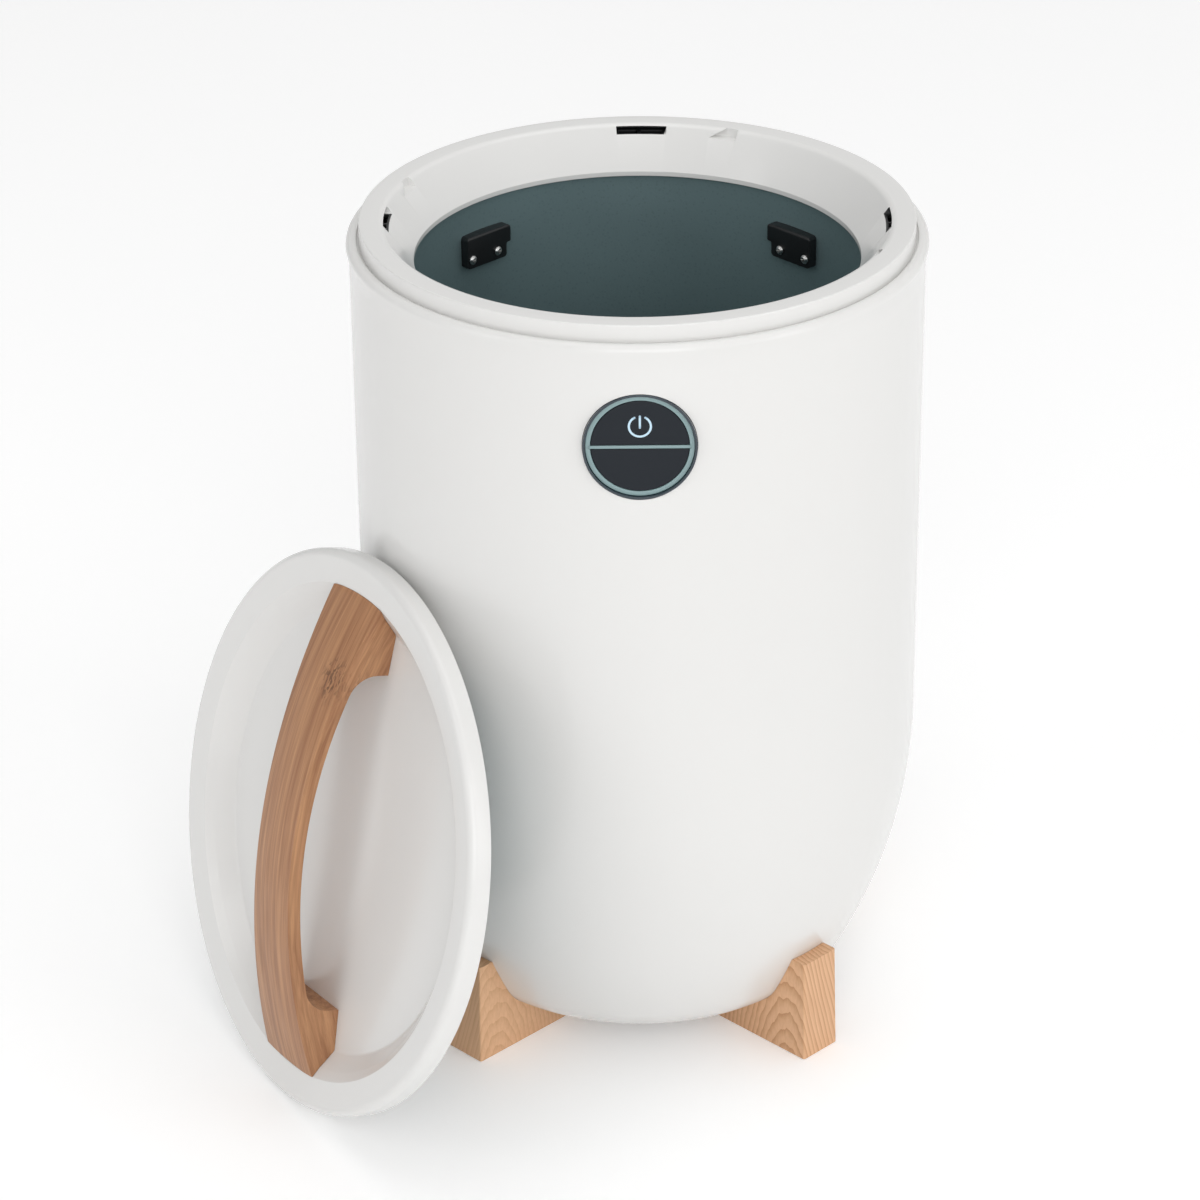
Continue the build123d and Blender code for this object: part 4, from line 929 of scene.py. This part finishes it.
class TOWEL_OT_panel(bpy.types.Operator):
    """Adds the bezel, light ring, two keys and the power symbol"""
    bl_idname = "towel_warmer.panel"
    bl_label = "Control panel"

    def execute(self, context):
        sizes = context.scene.towel_panel
        finishes = context.scene.towel_finishes
        matrix = panel_matrix(sizes)
        thickness = 2.6 * MM
        back = -sizes.recess - thickness
        glossy = dict(Coat_Weight=0.6, Coat_Roughness=0.05)
        bezel = place(self.bezel(sizes, back), matrix)
        navy = moulded("Bezel", finishes.bezel, rough=0.22, bump=0.01, **glossy)
        finish_piece(bezel, "barrel", "bezel_navy", navy, "panel_bezel")
        ring = lathe("Light_ring", soften([
            (sizes.ring, back, 0),
            (sizes.bore - PANEL_GAP, back, 0),
            (sizes.bore - PANEL_GAP, -sizes.recess, 0.3 * MM),
            (sizes.ring, -sizes.recess, 0.3 * MM),
        ]), 160)
        bar_size = (2 * sizes.ring + 1 * MM, sizes.bar, thickness)
        carve(ring, add_box((0, BAR_SHIFT, (back - sizes.recess) / 2), bar_size), "UNION")
        bevel(ring, 0.2 * MM, 2, 60)
        smooth(ring)
        place(ring, matrix)
        teal = moulded("Light Ring", finishes.ring, rough=0.25, bump=0.02, **glossy)
        finish_piece(ring, "barrel", "teal_ring", teal, "light_ring")
        gloss = moulded("Key Gloss", finishes.key, rough=0.20, bump=0.005, Specular_IOR_Level=0.25)
        for name, body, side in (("power_button", "power_key", 1), ("timer_button", "timer_key", -1)):
            key = place(half_key(name.title(), sizes, side), matrix)
            finish_piece(key, body, "key_gloss", gloss, name)
        self.symbol(sizes, finishes, matrix)
        return {"FINISHED"}

    def bezel(self, sizes, back):
        """Bezel with its flange behind the barrel's wall."""
        flange_radius, flange_front, flange_back = 34.5 * MM, -7 * MM, -8.6 * MM
        inside, depth = 28 * MM, 14.1 * MM
        return lathe("Panel_bezel", soften([
            (sizes.bore, back, 0),
            (inside, back, 0),
            (inside, -depth, 0),
            (sizes.bezel, -depth, 0),
            (sizes.bezel, flange_back, 0),
            (flange_radius, flange_back, 0),
            (flange_radius, flange_front, 0),
            (sizes.bezel, flange_front, 0),
            (sizes.bezel, 0, 0.4 * MM),
            (sizes.bore, 0, 0.25 * MM),
        ]), 160)

    def symbol(self, sizes, finishes, matrix):
        """Power symbol: an open circle and a bar, printed on the upper key, its ink given a faint painted
        glow.
        """
        low, high = -sizes.recess - 0.05 * MM, -sizes.recess + 0.06 * MM
        middle, bar_low, bar_high = 11.4 * MM, 10.7 * MM, 17.1 * MM
        half = sizes.stroke / 2
        gap = radians(30)
        arc = ring_block(
            "Power_symbol", sizes.symbol - half, sizes.symbol + half, low, high, gap, 2 * pi - gap, 96
        )
        place(arc, Matrix.Translation((0, middle, 0)))
        reach, rise = sizes.symbol * sin(gap), sizes.symbol * cos(gap)
        ends = ((reach, middle + rise), (-reach, middle + rise), (0, bar_low), (0, bar_high))
        marks = [place(disc("End", half, low, high, 24), Matrix.Translation((x, y, 0))) for x, y in ends]
        marks.append(add_box(
            (0, (bar_low + bar_high) / 2, (low + high) / 2), (sizes.stroke, bar_high - bar_low, high - low)
        ))
        join(arc, marks)
        place(arc, matrix)
        # faint emission on the printed ink: a painted glow, not a lamp
        glow = dict(Emission_Color=(*finishes.symbol, 1), Emission_Strength=0.12)
        ink_with_painted_glow = moulded("Symbol Ink", finishes.symbol, rough=0.4, bump=0.0, **glow)
        finish_piece(arc, "power_key", "key_gloss", ink_with_painted_glow)


# Lid

def lid_matrix(sizes):
    """Lid frame where it leans: X along the handle, Z out of its face."""
    lean_sin, lean_cos = sin(sizes.lean), cos(sizes.lean)
    normal = Vector((-sin(sizes.facing) * lean_cos, -cos(sizes.facing) * lean_cos, lean_sin))
    across = Vector((cos(sizes.facing), -sin(sizes.facing), 0))
    upward = normal.cross(across)
    along = upward * cos(sizes.roll) - across * sin(sizes.roll)
    beside = normal.cross(along)
    reach = (sizes.pan_radius - sizes.pan_round) * lean_sin + (sizes.pan_depth - sizes.pan_round) * lean_cos
    touch = bpy.context.scene.towel_barrel.wall_radius + sizes.barrel_gap + sizes.pan_round
    distance = (touch + reach) / cos(sizes.facing - sizes.bearing)
    rise = (sizes.radius - sizes.hem) * lean_cos + (sizes.skirt - sizes.hem) * lean_sin + sizes.hem
    centre = Vector((-distance * sin(sizes.bearing), -distance * cos(sizes.bearing), rise))
    matrix = Matrix((along, beside, normal)).transposed().to_4x4()
    matrix.translation = centre
    return matrix


def dish_corners(sizes, shift=0, rise=0, slope_round=10 * MM):
    """Corners of the dish from its middle to its slope, moved outwards by a shift and up by a rise."""
    floor, slope_radius, slope_height = -sizes.floor_drop, 134.5 * MM, -6.1 * MM
    return [
        (0, floor + rise, 0),
        (sizes.floor_radius + shift, floor + rise, 3 * MM),
        (slope_radius + shift, slope_height + rise, slope_round),
    ]


def lid_outline(sizes):
    """Closed outline of the lid's moulding."""
    shift, under, crest = 0.96 * MM, sizes.wall, 0.6 * MM
    return soften([
        *dish_corners(sizes),
        (sizes.dish_radius, DISH_EDGE, 0.8 * MM),
        (sizes.radius, crest, sizes.edge),
        (sizes.radius, -sizes.skirt, sizes.hem),
        (sizes.radius - under, -sizes.skirt, 0.4 * MM),
        (sizes.radius - under, crest - under, sizes.edge - under),
        (sizes.dish_radius + shift, DISH_EDGE - under, 0),
        *reversed(dish_corners(sizes, shift, -under, 0)),
    ], 8)


class TOWEL_OT_lid(bpy.types.Operator):
    """Adds the white lid with its dish and bayonet lugs"""
    bl_idname = "towel_warmer.lid"
    bl_label = "Lid"

    def execute(self, context):
        sizes = context.scene.towel_lid
        lid = lathe("Lid", lid_outline(sizes), context.scene.towel_barrel.segments)
        half = radians(4)
        inner, outer, low, high = 134.5 * MM, 140.5 * MM, -9.4 * MM, -6.2 * MM
        lugs = []
        for middle in LUG_BEARINGS:
            lug = ring_block("Lug", inner, outer, low, high, middle - half, middle + half, 10)
            bevel(lug, 0.5 * MM, 2, 50)
            smooth(lug)
            lugs.append(lug)
        join(lid, lugs)
        place(lid, lid_matrix(sizes))
        finish_piece(lid, "lid", "white_shell", white_plastic(), "lid_top")
        return {"FINISHED"}


class TOWEL_OT_handle(bpy.types.Operator):
    """Adds the bent bamboo handle"""
    bl_idname = "towel_warmer.handle"
    bl_label = "Lid handle"

    def execute(self, context):
        sizes = context.scene.towel_lid
        finishes = context.scene.towel_finishes
        handle = self.bow(sizes)
        gap, above = 0.1 * MM, 60 * MM
        edge = sizes.dish_radius - gap
        plug = lathe("Dish_plug", soften([
            *dish_corners(sizes, -gap, gap),
            (edge, DISH_EDGE + gap, 0),
            (edge, above, 0),
            (0, above, 0),
        ], 8), 256)
        carve(handle, plug, "INTERSECT")
        bevel(handle, 1.0 * MM, 3, 38)
        smooth(handle)
        matrix = lid_matrix(sizes)
        place(handle, matrix)
        knot = Vector((94 * MM, -12 * MM, 14 * MM))
        bow = sizes.handle_fall / sizes.handle_half ** 2
        bamboo = bamboo_finish(matrix, finishes.bamboo_light, finishes.bamboo_dark, knot, bow)
        finish_piece(handle, "lid", "bamboo", bamboo, "lid_handle")
        return {"FINISHED"}

    def bow(self, sizes):
        """Arched bar with feet, extruded across its width and flared to its ends."""
        end = sizes.dish_radius + 1 * MM
        foot, floor, fillet = 99 * MM, -sizes.floor_drop, 12 * MM
        foot_low = floor - 1 * MM
        outer_steps, inner_steps, corner_steps = 48, 32, 8

        def outer(s):
            return sizes.handle_rise - sizes.handle_fall * (s / sizes.handle_half) ** 2

        def inner(s):
            return outer(s) - (sizes.handle_thickness + 0.8 * MM * (s / foot) ** 2)

        inner_end = foot - fillet
        outside = [(s, outer(s)) for s in (end * (1 - 2 * k / outer_steps) for k in range(outer_steps + 1))]
        inside_places = (inner_end * (2 * k / inner_steps - 1) for k in range(inner_steps + 1))
        inside = [(s, inner(s)) for s in inside_places]
        slope = atan(2 * sizes.handle_fall * inner_end / sizes.handle_half ** 2)
        radius = fillet / (1 - sin(slope))
        corner = [
            (foot - radius * (1 - cos(angle)), inner(inner_end) + radius * (sin(angle) - cos(slope)))
            for angle in ((pi / 2 - slope) * (1 - k / corner_steps) for k in range(1, corner_steps + 1))
        ]
        right = [(s, h) for s, h in corner if h > floor] + [(foot, foot_low), (end, foot_low)]
        left = [(-s, h) for s, h in reversed(right)]
        piece = slab("Lid_handle", outside + left + inside + right, -0.5, 0.5)
        for vertex in piece.data.vertices:
            share = abs(vertex.co.x) / sizes.handle_half
            vertex.co.y *= sizes.handle_width + (sizes.handle_end - sizes.handle_width) * share ** 2
        return piece


# Feet

class TOWEL_OT_feet(bpy.types.Operator):
    """Gives the four wooden feet their grain"""
    bl_idname = "towel_warmer.feet"
    bl_label = "Feet"

    def execute(self, context):
        finishes = context.scene.towel_finishes
        heart = -132 * MM
        for index, (name, bearing, side, contrast) in enumerate((
            ("front_left", -135, 1, 0.45),
            ("front_right", 135, -1, 0.95),
            ("rear_left", -45, 1, 0.7),
            ("rear_right", 45, -1, 0.6),
        )):
            turned = Matrix.Rotation(radians(bearing - 90), 4, "Z")
            off_centre, tilted = -side * (30 + 3 * index) * MM, side * (16 - index)
            shift = Matrix.Translation((heart, off_centre, 0))
            tilt = Matrix.Rotation(radians(tilted), 4, "X")
            matrix = tilt @ shift @ turned
            wood = foot_wood(f"Foot Wood {name}", matrix, finishes.wood_light, finishes.wood_dark, contrast)
            dress_node(f"foot_{name}", wood)
        return {"FINISHED"}


# Inner and small pieces

# Name, colour, roughness, grain and bump of each slot's material
INNER_FINISHES = {
    "dark_base": ("Base Plastic", (0.62, 0.62, 0.60), 0.45, 900.0, 0.05),
    "plunger_white": ("White Nylon", (0.70, 0.70, 0.66), 0.45, 900.0, 0.04),
    "heater_film": ("Heater Film", (0.42, 0.15, 0.03), 0.30, 300.0, 0.05),
    "felt": ("Needled Felt", (0.58, 0.57, 0.52), 0.95, 500.0, 0.6),
    "thermostat_body": ("Phenolic Brown", (0.05, 0.03, 0.02), 0.5, 900.0, 0.06),
    "fuse_body": ("Pale Sleeve", (0.52, 0.52, 0.48), 0.6, 900.0, 0.1),
    "board_green": ("Solder Mask", (0.01, 0.09, 0.04), 0.3, 400.0, 0.05),
    "led_lens": ("Lamp Body", (0.75, 0.78, 0.78), 0.2, 900.0, 0.02),
    "component_yellow": ("Component Body", (0.45, 0.28, 0.03), 0.45, 900.0, 0.05),
    "wire_jacket": ("Wire Jacket", (0.60, 0.60, 0.58), 0.45, 900.0, 0.05),
    "seal_silicone": ("Grey Silicone", (0.26, 0.27, 0.27), 0.6, 900.0, 0.12),
}


class TOWEL_OT_inner(bpy.types.Operator):
    """Gives the remaining CAD pieces their finishes"""
    bl_idname = "towel_warmer.inner"
    bl_label = "Inner and small pieces"

    def execute(self, context):
        shared = {
            "white_shell": white_plastic(),
            "liner_coating": bpy.data.materials["Liner Coating"],
            "black_plastic": black_plastic(),
            "steel_screw": steel(),
        }
        for row in frame["record"]["subparts"]:
            slot_name = row["material_slot"]
            if frame["nodes"][row["node"]].hide_render:
                continue
            if slot_name in shared:
                dress_node(row["node"], shared[slot_name])
            elif slot_name in INNER_FINISHES:
                dress_node(row["node"], moulded(*INNER_FINISHES[slot_name]))
        return {"FINISHED"}


# Stage

def camera_matrix(stage):
    """Camera pose from its pitch, roll, yaw and the point it looks at."""
    back = Vector((0, -cos(stage.pitch), sin(stage.pitch)))
    right = Vector((1, 0, 0))
    up = back.cross(right)
    rolled_right = right * cos(stage.roll) + up * sin(stage.roll)
    rolled_up = up * cos(stage.roll) - right * sin(stage.roll)
    matrix = Matrix((rolled_right, rolled_up, back)).transposed().to_4x4()
    matrix.translation = Vector((stage.aim_x, 0, stage.aim_z)) + back * stage.distance
    return Matrix.Rotation(stage.yaw, 4, "Z") @ matrix


def softbox(name, place_at, aim, width, height, power):
    """Area light that faces a point."""
    light = bpy.data.lights.new(name, "AREA")
    light.shape = "RECTANGLE"
    light.size, light.size_y = width, height
    light.energy = power
    box = bpy.data.objects.new(name, light)
    bpy.context.scene.collection.objects.link(box)
    box.location = place_at
    box.rotation_euler = (Vector(aim) - Vector(place_at)).to_track_quat("-Z", "Y").to_euler()


class TOWEL_OT_stage(bpy.types.Operator):
    """Adds the camera, the softboxes, the white surround and the floor"""
    bl_idname = "towel_warmer.stage"
    bl_label = "Stage"

    def execute(self, context):
        stage = context.scene.towel_stage
        scene = context.scene
        camera = bpy.data.objects.new("Camera", bpy.data.cameras.new("Camera"))
        scene.collection.objects.link(camera)
        camera.data.sensor_width = 36
        camera.data.lens = stage.lens
        camera.data.clip_end = 50
        camera.matrix_world = camera_matrix(stage)
        scene.camera = camera
        scene.view_settings.view_transform = "Standard"
        self.world(scene, stage)
        self.floor()
        aim = (0, 0, 0.24)
        for name, place_at, width, height, power in (
            ("Key", (-3.8, -2.0, 2.2), 1.8, 3.6, stage.key),
            ("Fill", (3.8, -2.4, 2.0), 1.8, 3.6, stage.fill),
            ("Front", (0.3, -5.2, 2.9), 3.4, 3.4, stage.front),
            ("Top", (0.2, 0.4, 4.2), 3.2, 3.2, stage.top),
        ):
            softbox(name, place_at, aim, width, height, power)
        return {"FINISHED"}

    def world(self, scene, stage):
        """White light, weaker from the left, plain white where the camera sees it."""
        world = bpy.data.worlds.new("Studio")
        scene.world = world
        world.use_nodes = True
        board = Board(world.node_tree)
        path = board.add("ShaderNodeLightPath").outputs
        background = world.node_tree.nodes["Background"]
        seen = board.math("MAXIMUM", path["Is Camera Ray"], path["Is Transmission Ray"])
        direction = board.add("ShaderNodeTexCoord").outputs["Generated"]
        sideways = board.add("ShaderNodeSeparateXYZ", {0: direction}).outputs[0]
        dim_until, full_from = -0.95, 0.15
        shares = {1: dim_until, 2: full_from, 3: stage.world * stage.left, 4: stage.world}
        light = board.add("ShaderNodeMapRange", {"Value": sideways, **shares}).outputs[0]
        strength = board.math("MAXIMUM", light, seen)
        background.inputs["Color"].default_value = (1, 1, 1, 1)
        world.node_tree.links.new(strength, background.inputs["Strength"])

    def floor(self):
        """Pale floor that keeps the shadow and is otherwise as white as the surround."""
        sink = 0.2 * MM
        bpy.ops.object.select_all(action="DESELECT")
        bpy.ops.mesh.primitive_circle_add(vertices=64, radius=6, fill_type="NGON", location=(0, 0, -sink))
        floor = bpy.context.object
        bpy.ops.object.transform_apply(location=True, rotation=True, scale=True)
        floor.name = "Floor"
        material, board, shader = new_material("Floor", Base_Color=(1, 1, 1, 1), Roughness=0.6)
        glow_strength, glow_share = 4.1, 0.05
        glow = board.add("ShaderNodeEmission", {"Color": (1, 1, 1, 1), "Strength": glow_strength})
        path = board.add("ShaderNodeLightPath").outputs
        seen = board.math("MAXIMUM", path["Is Camera Ray"], path["Is Glossy Ray"])
        share = board.math("MULTIPLY", seen, glow_share)
        blend = board.add("ShaderNodeMixShader", {0: share, 1: shader.outputs[0], 2: glow.outputs[0]})
        output = material.node_tree.nodes["Material Output"]
        material.node_tree.links.new(blend.outputs[0], output.inputs["Surface"])
        floor.data.materials.append(material)


class TOWEL_PT_panel(bpy.types.Panel):
    """Sidebar panel with the pieces and their sizes"""
    bl_idname = "TOWEL_PT_panel"
    bl_label = "Towel Warmer"
    bl_space_type = "VIEW_3D"
    bl_region_type = "UI"
    bl_category = "Towel Warmer"

    def draw(self, context):
        for group in groups:
            box = self.layout.box()
            values = getattr(context.scene, group)
            for name in values.bl_rna.properties.keys():
                if name not in ("rna_type", "name"):
                    box.prop(values, name)
        for operator in operators:
            self.layout.operator(operator.bl_idname)


operators = (
    TOWEL_OT_stage,
    TOWEL_OT_barrel,
    TOWEL_OT_collar,
    TOWEL_OT_liner,
    TOWEL_OT_brackets,
    TOWEL_OT_panel,
    TOWEL_OT_lid,
    TOWEL_OT_handle,
    TOWEL_OT_feet,
    TOWEL_OT_inner,
)
groups = {
    "towel_barrel": BarrelSizes,
    "towel_collar": CollarSizes,
    "towel_brackets": BracketSizes,
    "towel_panel": PanelSizes,
    "towel_lid": LidSizes,
    "towel_finishes": Finishes,
    "towel_stage": StageSettings,
}


def register():
    for group in groups.values():
        bpy.utils.register_class(group)
    for operator in operators:
        bpy.utils.register_class(operator)
    bpy.utils.register_class(TOWEL_PT_panel)
    for name, group in groups.items():
        setattr(bpy.types.Scene, name, PointerProperty(type=group))


def unregister():
    for name in groups:
        delattr(bpy.types.Scene, name)
    bpy.utils.unregister_class(TOWEL_PT_panel)
    for operator in reversed(operators):
        bpy.utils.unregister_class(operator)
    for group in reversed(list(groups.values())):
        bpy.utils.unregister_class(group)


def main():
    """Builds the whole warmer."""
    register()
    for operator in operators:
        category, name = operator.bl_idname.split(".")
        getattr(getattr(bpy.ops, category), name)()


if __name__ == "__main__":
    main()
